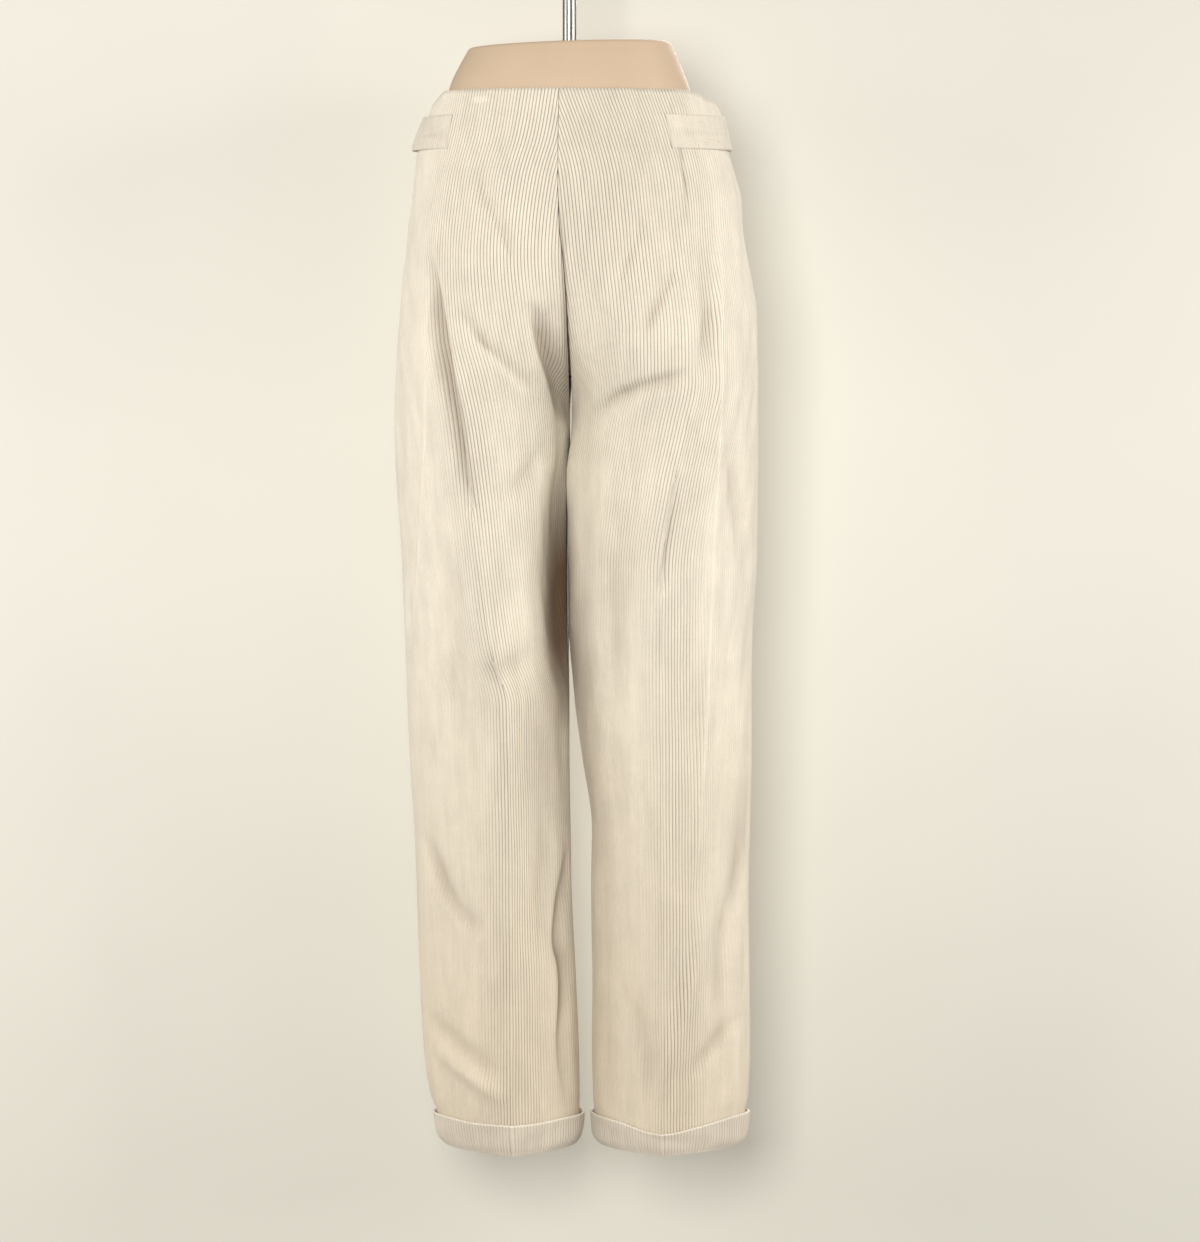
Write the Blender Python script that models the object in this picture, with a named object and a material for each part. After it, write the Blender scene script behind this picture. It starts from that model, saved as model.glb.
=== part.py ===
"""Corduroy trousers with turn-ups and side tabs, hanging on a limbless hip form under a steel rod.

Frame: metres, +Z up, the origin at the rod's top end. The trousers' back faces -Y, the wearer's
left is at -X. Every cloth panel is a thin closed wall over one worked-out surface: at each height
a leg is a ring between its outer and inner side, with a pressed crease front and back. Above the
crotch the ring reaches past the middle and is cut at the centre seam.
"""
import math

import bmesh
import bpy
import numpy as np

# ---- driving sizes, metres ----
WAIST = -0.140            # waist edge at the centre back
WAIST_DIP = 0.016         # how much lower the edge is at the sides and front
CROTCH = -0.441           # where the four panels meet
HEM = -1.1525             # lower edge of the leg panels, inside the turn-ups
CUFF_BOTTOM = -1.154
CUFF_TOP = -1.122
WALL = 0.0016             # corduroy with its waist facing or hem allowance
SEAM_GAP = 0.0003
REST_GAP = 0.0004         # between a panel and what is sewn on it
CUFF_WALL = 0.0024        # two layers of the turn-up
CUFF_GAP = 0.0009         # between the leg and its turn-up
CUFF_LOOSE = 0.0008       # the turn-up's top edge stands off the leg
TAB_WALL = 0.0024         # two layers of the side tab
FLY_WALL = 0.0014
BACK, FRONT = -1, 1
LEFT, RIGHT = -1, 1

ROD_RADIUS = 0.0065
ROD_SOCKET = 0.045        # depth of the form's socket
FORM_TOP = -0.095
FORM_ROLL = 0.034         # the form's top leans 2 degrees

# ---- sections: one row for each height ----
# The outer side of both legs, and the inner side of both legs (the centre back seam above the crotch).
OUTLINE_COLUMNS = ("z", "left_out", "left_in", "right_in", "right_out")
OUTLINE = (
    (-0.134, -0.1240, -0.0090, -0.0090, 0.1300),
    (-0.158, -0.1330, -0.0095, -0.0095, 0.1435),
    (-0.172, -0.1385, -0.0098, -0.0098, 0.1465),
    (-0.192, -0.1445, -0.0100, -0.0100, 0.1505),
    (-0.222, -0.1480, -0.0100, -0.0100, 0.1590),
    (-0.241, -0.1502, -0.0098, -0.0098, 0.1637),
    (-0.270, -0.1542, -0.0085, -0.0085, 0.1653),
    (-0.297, -0.1565, -0.0054, -0.0054, 0.1698),
    (-0.317, -0.1590, -0.0037, -0.0037, 0.1740),
    (-0.351, -0.1625, -0.0018, -0.0018, 0.1790),
    (-0.406, -0.1664, 0.0002, 0.0008, 0.1802),
    (-0.441, -0.1677, 0.0006, 0.0014, 0.1804),
    (-0.494, -0.1670, -0.0005, 0.0003, 0.1805),
    (-0.582, -0.1615, -0.0018, -0.0010, 0.1799),
    (-0.656, -0.1589, -0.0015, -0.0005, 0.1760),
    (-0.720, -0.1573, 0.0000, 0.0040, 0.1754),
    (-0.771, -0.1550, 0.0000, 0.0105, 0.1757),
    (-0.846, -0.1510, 0.0012, 0.0205, 0.1745),
    (-0.901, -0.1490, 0.0020, 0.0195, 0.1733),
    (-0.994, -0.1460, 0.0063, 0.0208, 0.1746),
    (-1.063, -0.1424, 0.0090, 0.0205, 0.1752),
    (-1.108, -0.1357, 0.0098, 0.0215, 0.1735),
    (-1.122, -0.1300, 0.0095, 0.0230, 0.1708),
    (-1.154, -0.1245, 0.0075, 0.0262, 0.1695),
)
# How deep the ring is behind and before its middle, and how sharply it is pressed (0 round, 1 flat).
DEPTH_COLUMNS = ("z", "back", "front", "press_back", "press_front")
DEPTH = (
    (-0.134, 0.090, 0.094, 0.00, 0.00),
    (-0.194, 0.101, 0.101, 0.02, 0.03),
    (-0.264, 0.113, 0.107, 0.06, 0.08),
    (-0.334, 0.120, 0.110, 0.10, 0.12),
    (-0.402, 0.119, 0.110, 0.18, 0.18),
    (-0.482, 0.110, 0.104, 0.28, 0.28),
    (-0.622, 0.096, 0.092, 0.38, 0.38),
    (-0.800, 0.079, 0.077, 0.46, 0.46),
    (-1.000, 0.066, 0.065, 0.50, 0.50),
    (-1.154, 0.058, 0.057, 0.46, 0.46),
)
# Where the pressed creases run.
CREASE_COLUMNS = ("z", "left_back", "left_front", "right_front", "right_back")
CREASE = (
    (-0.134, -0.106, -0.074, 0.078, 0.088),
    (-0.179, -0.113, -0.079, 0.085, 0.1005),
    (-0.225, -0.121, -0.083, 0.089, 0.1090),
    (-0.286, -0.125, -0.085, 0.093, 0.1120),
    (-0.368, -0.1187, -0.086, 0.096, 0.1180),
    (-0.410, -0.1100, -0.085, 0.096, 0.1190),
    (-0.453, -0.1010, -0.084, 0.095, 0.1110),
    (-0.512, -0.0927, -0.081, 0.093, 0.0980),
    (-0.595, -0.0830, -0.078, 0.091, 0.0860),
    (-0.665, -0.0730, -0.076, 0.090, 0.0860),
    (-0.718, -0.0580, -0.074, 0.090, 0.0865),
    (-0.900, -0.0560, -0.070, 0.092, 0.0880),
    (-1.154, -0.0555, -0.061, 0.097, 0.0890),
)
# How far the centre front seam stands from the centre back seam, since the waist sits turned.
FRONT_SEAM_SHIFT = ((-0.134, 0.026), (-0.300, 0.013), (-0.390, 0.004), (-0.441, 0.0))

# ---- largest folds: a soft trough (depth below 0) or ridge along a line on one face ----
FOLD_COLUMNS = ("face", "x0", "z0", "x1", "z1", "height", "width")
FOLDS = (
    (BACK, -0.036, -0.345, -0.003, -0.429, -0.0070, 0.009),
    (BACK, -0.095, -0.351, -0.038, -0.419, -0.0040, 0.009),
    (BACK, -0.083, -0.230, -0.051, -0.302, -0.0030, 0.012),
    (BACK, -0.116, -0.380, -0.094, -0.492, -0.0050, 0.007),
    (BACK, 0.018, -0.450, 0.112, -0.405, -0.0045, 0.008),
    (BACK, 0.044, -0.329, 0.063, -0.277, -0.0025, 0.010),
    (BACK, 0.068, -0.371, 0.100, -0.309, -0.0020, 0.010),
    (BACK, 0.124, -0.270, 0.136, -0.385, -0.0045, 0.009),
    (BACK, 0.142, -0.265, 0.136, -0.550, 0.0035, 0.010),
    (BACK, 0.136, -0.550, 0.119, -0.989, 0.0035, 0.013),
    (BACK, 0.099, -0.506, 0.085, -0.598, -0.0045, 0.008),
    (BACK, 0.168, -0.775, 0.147, -1.010, -0.0055, 0.009),
    (BACK, -0.045, -0.672, -0.075, -0.702, -0.0045, 0.008),
    (BACK, -0.139, -0.851, -0.088, -0.938, -0.0035, 0.010),
    (BACK, -0.133, -1.055, -0.067, -1.099, 0.0035, 0.010),
    (BACK, 0.106, -1.061, 0.167, -1.012, -0.0040, 0.011),
    (FRONT, -0.100, -0.400, -0.022, -0.455, -0.0055, 0.010),
    (FRONT, 0.030, -0.450, 0.115, -0.395, -0.0055, 0.010),
    (FRONT, -0.090, -0.660, -0.050, -0.700, -0.0040, 0.010),
    (FRONT, 0.070, -0.720, 0.125, -0.680, -0.0040, 0.010),
    (FRONT, -0.120, -1.050, -0.050, -1.095, -0.0035, 0.010),
    (FRONT, 0.060, -1.085, 0.130, -1.040, -0.0035, 0.010),
)

# ---- what is sewn on ----
TAB_TOP = -0.163
TAB_BOTTOM = -0.195
TAB_COLUMNS = ("name", "side", "back_end_x", "front_end_x", "stand_off")
TABS = (
    ("side_tab_left", LEFT, -0.112, -0.100, 0.0035),
    ("side_tab_right", RIGHT, 0.093, 0.108, 0.0016),
)
FLY_SHARE = 0.50          # of the way from the centre seam to the crease
FLY_LENGTH = 0.165
FLY_GAP = 0.0012
BUTTON_RADIUS = 0.0085
BUTTON_THICK = 0.0030

# ---- hip form: half width and half depth at each height ----
FORM_COLUMNS = ("z", "half_width", "half_depth")
FORM = (
    (-0.0950, 0.0935, 0.0690),
    (-0.0958, 0.0953, 0.0708),
    (-0.0985, 0.0970, 0.0725),
    (-0.1140, 0.1050, 0.0785),
    (-0.1360, 0.1142, 0.0842),
    (-0.1680, 0.1215, 0.0870),
    (-0.2130, 0.1300, 0.0885),
    (-0.2720, 0.1380, 0.0920),
    (-0.3300, 0.1350, 0.0880),
    (-0.3700, 0.1180, 0.0680),
    (-0.3930, 0.0880, 0.0460),
    (-0.4040, 0.0560, 0.0280),
    (-0.4075, 0.0240, 0.0120),
)

# ---- mesh fineness ----
COLUMNS_TO_CREASE = 7
COLUMNS_TO_SIDE = 6
TAB_ROWS = 3
ROWS_ABOVE = 12
ROWS_BELOW = 18
FORM_COLUMNS_ROUND = 36


def column(table, names, name):
    """Heights and values of one named column, from the lowest up."""
    index = names.index(name)
    rows = sorted(table)
    return np.array([row[0] for row in rows]), np.array([row[index] for row in rows])


def smooth(z, heights, values):
    """Monotone cubic through the column's values."""
    step = np.diff(heights)
    slope = np.diff(values) / step
    tangent = np.zeros(len(values))
    for k in range(1, len(values) - 1):
        if slope[k - 1] * slope[k] > 0:
            tangent[k] = 2 * slope[k - 1] * slope[k] / (slope[k - 1] + slope[k])
    tangent[0], tangent[-1] = slope[0], slope[-1]
    z = np.clip(z, heights[0], heights[-1])
    k = np.clip(np.searchsorted(heights, z) - 1, 0, len(step) - 1)
    t = (z - heights[k]) / step[k]
    near = (1 + 2 * t) * (1 - t) ** 2 * values[k] + t * (1 - t) ** 2 * step[k] * tangent[k]
    far = t * t * (3 - 2 * t) * values[k + 1] - t * t * (1 - t) * step[k] * tangent[k + 1]
    return near + far


def outline(z, name):
    return smooth(z, *column(OUTLINE, OUTLINE_COLUMNS, name))


def depth(z, name):
    return smooth(z, *column(DEPTH, DEPTH_COLUMNS, name))


def side_name(side):
    return "left" if side == LEFT else "right"


def face_name(face):
    return "back" if face == BACK else "front"


def reach(z):
    """0 where the ring is centred on the middle seam, 1 where it only just touches it."""
    down = np.clip((z - WAIST) / (CROTCH - WAIST), 0.0, 1.0)
    return down ** 2.5


def inner_x(side, face, z):
    """The centre seam above the crotch, the inside leg below it."""
    x = outline(z, side_name(side) + "_in")
    if face == FRONT:
        shift = np.array(sorted(FRONT_SEAM_SHIFT))
        x = x + smooth(z, shift[:, 0], shift[:, 1])
    return x


def ring(side, face, z):
    """Centre and half width of the leg's ring."""
    inner = inner_x(side, face, z)
    outer = outline(z, side_name(side) + "_out")
    half = np.abs(outer - inner) / (1.0 + reach(z))
    return inner + side * reach(z) * half, half


def crease_turn(side, face, z):
    """Angle of the crease round the ring, 0 at its inner end."""
    centre, half = ring(side, face, z)
    crease = smooth(z, *column(CREASE, CREASE_COLUMNS, side_name(side) + "_" + face_name(face)))
    return np.arccos(np.clip((centre - crease) * side / half, -0.97, 0.97))


def fold_height(face, x, z):
    """Sum of the folds at a place on one face."""
    height = np.zeros_like(x)
    for fold_face, x0, z0, x1, z1, rise, width in FOLDS:
        if fold_face != face:
            continue
        along = np.array([x1 - x0, z1 - z0])
        length = np.linalg.norm(along)
        along = along / length
        t = ((x - x0) * along[0] + (z - z0) * along[1]) / length
        across = (x - x0) * along[1] - (z - z0) * along[0]
        ends = np.clip(t, 0.0, 1.0) * np.clip(1.0 - t, 0.0, 1.0) * 4.0
        height += rise * np.sqrt(ends) * np.exp(-(across / width) ** 2)
    return height


def cloth_point(side, face, turn, z):
    """Outer surface of one half at an angle round its ring."""
    centre, half = ring(side, face, z)
    x = centre - side * half * np.cos(turn)
    level = np.cos(turn)
    crease = np.cos(crease_turn(side, face, z))
    tent = np.where(level > crease, (1 - level) / (1 - crease), (1 + level) / (1 + crease))
    press = depth(z, "press_" + face_name(face))
    lift = (1 - press) * np.sin(turn) + press * tent
    full = depth(z, face_name(face))
    edge = np.sin(np.clip(turn, 0, math.pi)) ** 0.5
    y = face * (SEAM_GAP / 2 + full * lift + edge * fold_height(face, x, z))
    return np.stack([x, y, z + 0 * x], axis=-1)


def cut_turn(side, face, z):
    """Where the centre seam cuts the ring, half a seam gap in. 0 below the crotch."""
    centre, half = ring(side, face, z)
    seam = inner_x(side, face, z) + side * SEAM_GAP / 2
    return np.arccos(np.clip((centre - seam) * side / half, -1.0, 1.0))


def waist_edge(face, share):
    """Height of the waist edge: level at the back, dipping to the sides and lower in front."""
    if face == FRONT:
        return np.full_like(share, WAIST - WAIST_DIP)
    dip = np.clip((share - 0.62) / 0.38, 0.0, 1.0)
    return WAIST - WAIST_DIP * dip * dip * (3 - 2 * dip)


def column_shares():
    """Places of a panel's columns: 0 at the inner edge, 0.5 on the crease, 1 at the side seam."""
    inside = np.linspace(0, 0.5, COLUMNS_TO_CREASE + 1)
    outside = np.linspace(0.5, 1.0, COLUMNS_TO_SIDE + 1)
    return np.concatenate([inside, outside[1:]])


def panel_turn(side, face, share, z):
    """Angle round the ring of a column at a height."""
    first = cut_turn(side, face, z)
    crease = np.maximum(crease_turn(side, face, z), first + 0.05)
    inside = first + (crease - first) * share * 2
    outside = crease + (math.pi - crease) * (share * 2 - 1)
    return np.where(share <= 0.5, inside, outside)


def row_heights():
    """Heights of a panel's rows below its waist edge, closer together at the crotch."""
    tab = np.linspace(TAB_TOP, TAB_BOTTOM, TAB_ROWS)
    above = (1.0 - np.arange(1, ROWS_ABOVE) / ROWS_ABOVE) ** 1.6
    below = (np.arange(ROWS_BELOW + 1) / ROWS_BELOW) ** 1.15
    seat = CROTCH + (TAB_BOTTOM - CROTCH) * above
    leg = CROTCH + (CUFF_TOP - CROTCH) * below
    return [*tab, *seat, *leg, HEM]


def panel_grid(side, face):
    """Angles and heights of a panel's points, closer together at the crotch."""
    share = column_shares()[None, :]
    rows = np.array(row_heights())[:, None] + 0 * share
    z = np.concatenate([waist_edge(face, share), rows])
    return panel_turn(side, face, share, z), z


def outward_normals(points, face):
    """Unit normals of a grid of points, away from the leg's inside."""
    down = np.gradient(points, axis=0)
    across = np.gradient(points, axis=1)
    normal = np.cross(down, across)
    length = np.linalg.norm(normal, axis=-1, keepdims=True)
    normal = normal / np.maximum(length, 1e-12)
    middle = normal[len(points) // 2, points.shape[1] // 2]
    return normal if middle[1] * face > 0 else -normal


def panel(side, face):
    """One leg panel with half the seat or half the front, as a closed wall."""
    turn, z = panel_grid(side, face)
    outer = cloth_point(side, face, turn, z)
    inner = outer - outward_normals(outer, face) * WALL
    inner[..., 2] = np.where(np.arange(len(z))[:, None] % (len(z) - 1) == 0, z, inner[..., 2])
    inner[..., 1] = face * np.maximum(face * inner[..., 1], SEAM_GAP / 2)
    seam = inner_x(side, face, inner[..., 2]) + side * SEAM_GAP / 2
    inner[..., 0] = side * np.maximum(side * inner[..., 0], side * seam)
    return wall(face_name(face) + "_" + side_name(side), outer, inner)


def wall(name, outer, inner, closed_round=False):
    """Closed solid between two grids of points, rows by columns."""
    rows, columns = outer.shape[:2]
    points = np.concatenate([outer.reshape(-1, 3), inner.reshape(-1, 3)])
    layer = rows * columns
    faces = []
    spans = columns if closed_round else columns - 1
    for r in range(rows - 1):
        for c in range(spans):
            d = (c + 1) % columns
            a, b, e, f = r * columns + c, r * columns + d, (r + 1) * columns + d, (r + 1) * columns + c
            faces.append((a, b, e, f))
            faces.append((layer + f, layer + e, layer + b, layer + a))
    for c in range(spans):
        d = (c + 1) % columns
        last = (rows - 1) * columns
        faces.append((layer + c, layer + d, d, c))
        faces.append((last + c, last + d, layer + last + d, layer + last + c))
    if not closed_round:
        for r in range(rows - 1):
            a, f = r * columns, (r + 1) * columns
            faces.append((a, f, layer + f, layer + a))
            b, e = a + columns - 1, f + columns - 1
            faces.append((layer + b, layer + e, e, b))
    return solid(name, points, faces)


def solid(name, points, faces):
    """Mesh object whose faces point out."""
    mesh = bpy.data.meshes.new(name)
    mesh.from_pydata([tuple(map(float, p)) for p in points], [], faces)
    work = bmesh.new()
    work.from_mesh(mesh)
    bmesh.ops.recalc_face_normals(work, faces=work.faces)
    if work.calc_volume(signed=True) < 0:
        bmesh.ops.reverse_faces(work, faces=work.faces)
    work.to_mesh(mesh)
    work.free()
    mesh.shade_smooth()
    mesh.set_sharp_from_angle(angle=math.radians(50))
    item = bpy.data.objects.new(name, mesh)
    bpy.context.collection.objects.link(item)
    return item


def leg_loop(side, z, out):
    """Closed loop round a leg at one height, on the panels' columns, moved out level."""
    share = column_shares()
    loops = []
    for face in (BACK, FRONT):
        turn = panel_turn(side, face, share, np.full_like(share, z))
        line = cloth_point(side, face, turn, np.full_like(turn, z))
        loops.append(line if face == BACK else line[::-1])
    joined = np.concatenate([loops[0][:-1], loops[1][:-1]])
    joined[0, 1] = 0.0
    joined[len(share) - 1, 1] = 0.0
    along = np.roll(joined, -1, axis=0) - np.roll(joined, 1, axis=0)
    normal = np.stack([along[:, 1], -along[:, 0], 0 * along[:, 0]], axis=-1)
    normal /= np.linalg.norm(normal, axis=-1, keepdims=True)
    middle = joined.mean(axis=0)
    if np.sum(normal * (joined - middle)) < 0:
        normal = -normal
    return joined + normal * out


def cuff(side):
    """Turn-up: a band of two layers round the leg's end, a little open at its top edge."""
    layers = []
    for out in (CUFF_GAP + CUFF_WALL, CUFF_GAP):
        high = leg_loop(side, CUFF_TOP, out + CUFF_LOOSE)
        low = leg_loop(side, HEM, out)
        last = (CUFF_BOTTOM - CUFF_TOP) / (HEM - CUFF_TOP)
        layers.append(np.stack([high + (low - high) * share for share in np.linspace(0, last, 4)]))
    return wall("cuff_" + side_name(side), *layers, closed_round=True)


def turn_at(side, face, z, x):
    """Angle of the ring at a level place."""
    centre, half = ring(side, face, z)
    return np.arccos(np.clip((centre - x) * side / half, -1.0, 1.0))


def strip(side, places, heights, outs, thick):
    """Two grids of points over the cloth: places holds the face and share of each column."""
    outer = []
    inner = []
    for z, row_outs in zip(heights, outs):
        level = np.array([z])
        centre = np.array([ring(side, FRONT, level)[0][0], 0.0, z])
        outer_row = []
        inner_row = []
        for (face, share), out in zip(places, row_outs):
            turn = min(panel_turn(side, face, np.array([share]), level)[0], math.pi - 0.001)
            before, here, after = (
                cloth_point(side, face, np.array([turn + step]), level)[0] for step in (-0.02, 0.0, 0.02)
            )
            along = after - before
            normal = np.array([along[1], -along[0], 0.0])
            normal /= np.linalg.norm(normal)
            if np.dot(normal, here - centre) < 0:
                normal = -normal
            outer_row.append(here + normal * (out + thick))
            inner_row.append(here + normal * out)
        outer.append(outer_row)
        inner.append(inner_row)
    return np.array(outer), np.array(inner)


def side_tab(name, side, back_end, front_end, stand_off):
    """Tab from the back crease round the side, standing a little off the cloth at the side seam."""
    middle = np.array([(TAB_TOP + TAB_BOTTOM) / 2])
    places = []
    for face, end in ((BACK, back_end), (FRONT, front_end)):
        crease = panel_turn(side, face, np.array([0.5]), middle)[0]
        start = 0.5 + 0.5 * (turn_at(side, face, middle, end)[0] - crease) / (math.pi - crease)
        shares = [start] + [s for s in column_shares() if s > start + 0.03]
        places.append([(face, s) for s in shares])
    around = places[0] + places[1][::-1][1:]
    heights = np.linspace(TAB_TOP, TAB_BOTTOM, TAB_ROWS)
    outs = []
    for k in range(TAB_ROWS):
        loose = stand_off * (0.45 + 0.55 * k / (TAB_ROWS - 1))
        outs.append([REST_GAP + loose * math.exp(-((1.0 - s) / 0.17) ** 2) for face, s in around])
    return wall(name, *strip(side, around, heights, outs, TAB_WALL))


def fly_flap():
    """Fly cover on the right front, rounded into the seam at its lower end."""
    top = WAIST - WAIST_DIP - 0.001
    heights = [top] + [z for z in row_heights() if z > top - FLY_LENGTH]
    columns = [s for s in column_shares() if s < 0.5 * FLY_SHARE] + [0.5 * FLY_SHARE]
    outer = []
    inner = []
    for z in heights:
        narrow = math.sqrt(1 - ((top - z) / FLY_LENGTH) ** 6)
        places = [(FRONT, 0.004 + s * narrow) for s in columns]
        o, i = strip(RIGHT, places, [z], [[FLY_GAP] * len(places)], FLY_WALL)
        outer.append(o[0])
        inner.append(i[0])
    return wall("fly_flap", np.array(outer), np.array(inner))


def button(name, side, face, x, z, out):
    """Turned button with a raised rim, lying on the cloth at one place."""
    zz = np.array([z])
    turn = turn_at(side, face, zz, x)
    here = cloth_point(side, face, turn, zz)[0]
    across = cloth_point(side, face, turn + 0.02, zz)[0] - cloth_point(side, face, turn - 0.02, zz)[0]
    below = cloth_point(side, face, turn_at(side, face, zz - 0.004, x), zz - 0.004)[0]
    normal = np.cross(across, here - below)
    normal /= np.linalg.norm(normal)
    if normal[1] * face < 0:
        normal = -normal
    right = across / np.linalg.norm(across)
    up = np.cross(normal, right)
    r, h = BUTTON_RADIUS, BUTTON_THICK
    profile = ((0.72 * r, 0.0), (0.96 * r, 0.18 * h), (r, 0.5 * h), (0.93 * r, 0.92 * h),
               (0.82 * r, h), (0.72 * r, 0.66 * h), (0.35 * r, 0.56 * h))
    count = 20
    points = []
    for radius, level in profile:
        for k in range(count):
            a = 2 * math.pi * k / count
            ring_point = right * (radius * math.cos(a)) + up * (radius * math.sin(a))
            points.append(here + normal * (out + level) + ring_point)
    faces = []
    for r_index in range(len(profile) - 1):
        for k in range(count):
            n = (k + 1) % count
            a, b = r_index * count, (r_index + 1) * count
            faces.append((a + k, a + n, b + n, b + k))
    faces.append(tuple(range(count))[::-1])
    last = (len(profile) - 1) * count
    faces.append(tuple(range(last, last + count)))
    return solid(name, points, faces)


def hip_form():
    """Smooth limbless form with a socket for the rod, closed and round below the seat."""
    bottom = FORM[-1][0] - 0.0008
    z = np.array([row[0] for row in FORM])
    loops = []
    angle = 2 * math.pi * np.arange(FORM_COLUMNS_ROUND) / FORM_COLUMNS_ROUND
    socket = ROD_RADIUS + SEAM_GAP
    for level, wide, deep in ((FORM_TOP - ROD_SOCKET, socket, socket), (FORM_TOP, socket, socket)):
        loops.append((level, wide, deep))
    loops += [tuple(row) for row in FORM]
    points = []
    for index, (level, wide, deep) in enumerate(loops):
        for a in angle:
            x, y = wide * math.cos(a), deep * math.sin(a)
            lean = FORM_ROLL * x * max(0.0, 1 - (FORM_TOP - level) / 0.03) if index else 0.0
            points.append((x, y, level + lean))
    n = FORM_COLUMNS_ROUND
    faces = [tuple(range(n))]
    for r in range(len(loops) - 1):
        for k in range(n):
            m = (k + 1) % n
            faces.append((r * n + k, r * n + m, (r + 1) * n + m, (r + 1) * n + k))
    points.append((0.0, 0.0, bottom))
    last = (len(loops) - 1) * n
    for k in range(n):
        faces.append((last + k, last + (k + 1) % n, len(points) - 1))
    return solid("hip_form", points, faces)


def rod():
    """Round steel rod from its free top end down into the form."""
    length = -FORM_TOP + ROD_SOCKET - SEAM_GAP
    work = bmesh.new()
    bmesh.ops.create_cone(work, cap_ends=True, segments=32, radius1=ROD_RADIUS, radius2=ROD_RADIUS, depth=length)
    mesh = bpy.data.meshes.new("rod")
    work.to_mesh(mesh)
    work.free()
    mesh.shade_smooth()
    mesh.set_sharp_from_angle(angle=math.radians(40))
    item = bpy.data.objects.new("rod", mesh)
    item.location = (0.0, 0.0, -length / 2)
    bpy.context.collection.objects.link(item)
    return item


def finish(item, name, color, roughness, metallic=0.0):
    """Give an object its own Principled material."""
    material = bpy.data.materials.new(item.name + "_" + name)
    material.use_nodes = True
    shader = material.node_tree.nodes["Principled BSDF"]
    shader.inputs["Base Color"].default_value = (*color, 1.0)
    shader.inputs["Roughness"].default_value = roughness
    shader.inputs["Metallic"].default_value = metallic
    item.data.materials.append(material)


def main():
    for item in list(bpy.data.objects):
        bpy.data.objects.remove(item, do_unlink=True)

    cloth = []
    for side in (LEFT, RIGHT):
        for face in (BACK, FRONT):
            cloth.append(panel(side, face))
        cloth.append(cuff(side))
    for row in TABS:
        cloth.append(side_tab(*row))
    cloth.append(fly_flap())
    for item in cloth:
        finish(item, "corduroy", (0.80, 0.74, 0.60), 0.9)

    on_fly = FLY_GAP + FLY_WALL + SEAM_GAP
    on_tab = REST_GAP + TAB_WALL + 0.0012
    fly_button_x = float(inner_x(RIGHT, FRONT, np.array([WAIST]))[0]) + 0.015
    buttons = [button("button_waist", RIGHT, FRONT, fly_button_x, WAIST - WAIST_DIP - 0.014, on_fly)]
    for name, side, back_end, front_end, stand_off in TABS:
        place = front_end + side * 0.013
        middle = (TAB_TOP + TAB_BOTTOM) / 2
        buttons.append(button("button_" + side_name(side), side, FRONT, place, middle, on_tab))
    for item in buttons:
        finish(item, "horn", (0.55, 0.45, 0.32), 0.35)

    finish(hip_form(), "plastic", (0.75, 0.57, 0.40), 0.4)
    finish(rod(), "steel", (0.62, 0.61, 0.59), 0.22, 1.0)


main()
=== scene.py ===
"""Looks of the corduroy trousers on their hip form, laid over the packed frame.

The cloth is one worked-out surface: at each height a leg is a ring between its outer and inner side,
pressed front and back, and above the crotch it is cut at the centre seam. The corduroy's wales are real
ridges that run with the grain, measured round the leg from the pressed crease.
"""

import math

import bmesh
import bpy
import numpy as np
from bpy.props import FloatProperty, FloatVectorProperty, IntProperty, PointerProperty
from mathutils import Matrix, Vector


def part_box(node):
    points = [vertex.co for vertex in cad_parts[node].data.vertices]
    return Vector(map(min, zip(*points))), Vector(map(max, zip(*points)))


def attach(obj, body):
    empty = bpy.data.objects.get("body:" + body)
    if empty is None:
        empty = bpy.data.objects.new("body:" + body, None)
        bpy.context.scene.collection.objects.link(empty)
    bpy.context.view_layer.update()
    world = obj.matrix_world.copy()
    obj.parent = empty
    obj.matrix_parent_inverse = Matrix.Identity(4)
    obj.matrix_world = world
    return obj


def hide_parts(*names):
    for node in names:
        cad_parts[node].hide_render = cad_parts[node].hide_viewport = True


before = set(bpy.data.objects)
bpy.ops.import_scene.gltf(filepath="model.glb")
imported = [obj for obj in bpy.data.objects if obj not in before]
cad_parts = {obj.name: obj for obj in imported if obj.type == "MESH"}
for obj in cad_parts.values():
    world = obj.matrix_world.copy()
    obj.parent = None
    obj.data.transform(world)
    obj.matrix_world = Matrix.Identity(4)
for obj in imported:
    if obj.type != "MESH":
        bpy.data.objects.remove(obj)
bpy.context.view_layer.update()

bl_info = {
    "name": "Corduroy Trousers",
    "version": (1, 0, 0),
    "blender": (4, 5, 0),
    "location": "View3D > Sidebar > Trousers",
    "description": "Builds corduroy trousers with turn-ups and side tabs on a hanging hip form",
    "category": "Add Mesh",
}

BACK, FRONT = -1, 1
LEFT, RIGHT = -1, 1

# ---- heights and gaps, from the frame ----
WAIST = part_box("back_left")[1][2]
WAIST_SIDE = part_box("front_left")[1][2]
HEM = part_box("back_left")[0][2]
CUFF_BOTTOM, CUFF_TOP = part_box("cuff_left")[0][2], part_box("cuff_left")[1][2]
TAB_BOTTOM, TAB_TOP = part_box("side_tab_left")[0][2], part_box("side_tab_left")[1][2]
CROTCH = -0.441
SEAM_GAP = 0.0003
ROD_DEPTH = 0.045         # how deep the rod sits in the form
FORM_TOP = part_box("rod")[0][2] + ROD_DEPTH - SEAM_GAP
CUFF_GAP = 0.0009
CUFF_LOOSE = 0.0008
FLY_GAP = 0.0012
REST_GAP = 0.0004
REACH_EASE = tuple(0.004 * k for k in range(9))   # heights over which the ring eases in above the crotch

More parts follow.
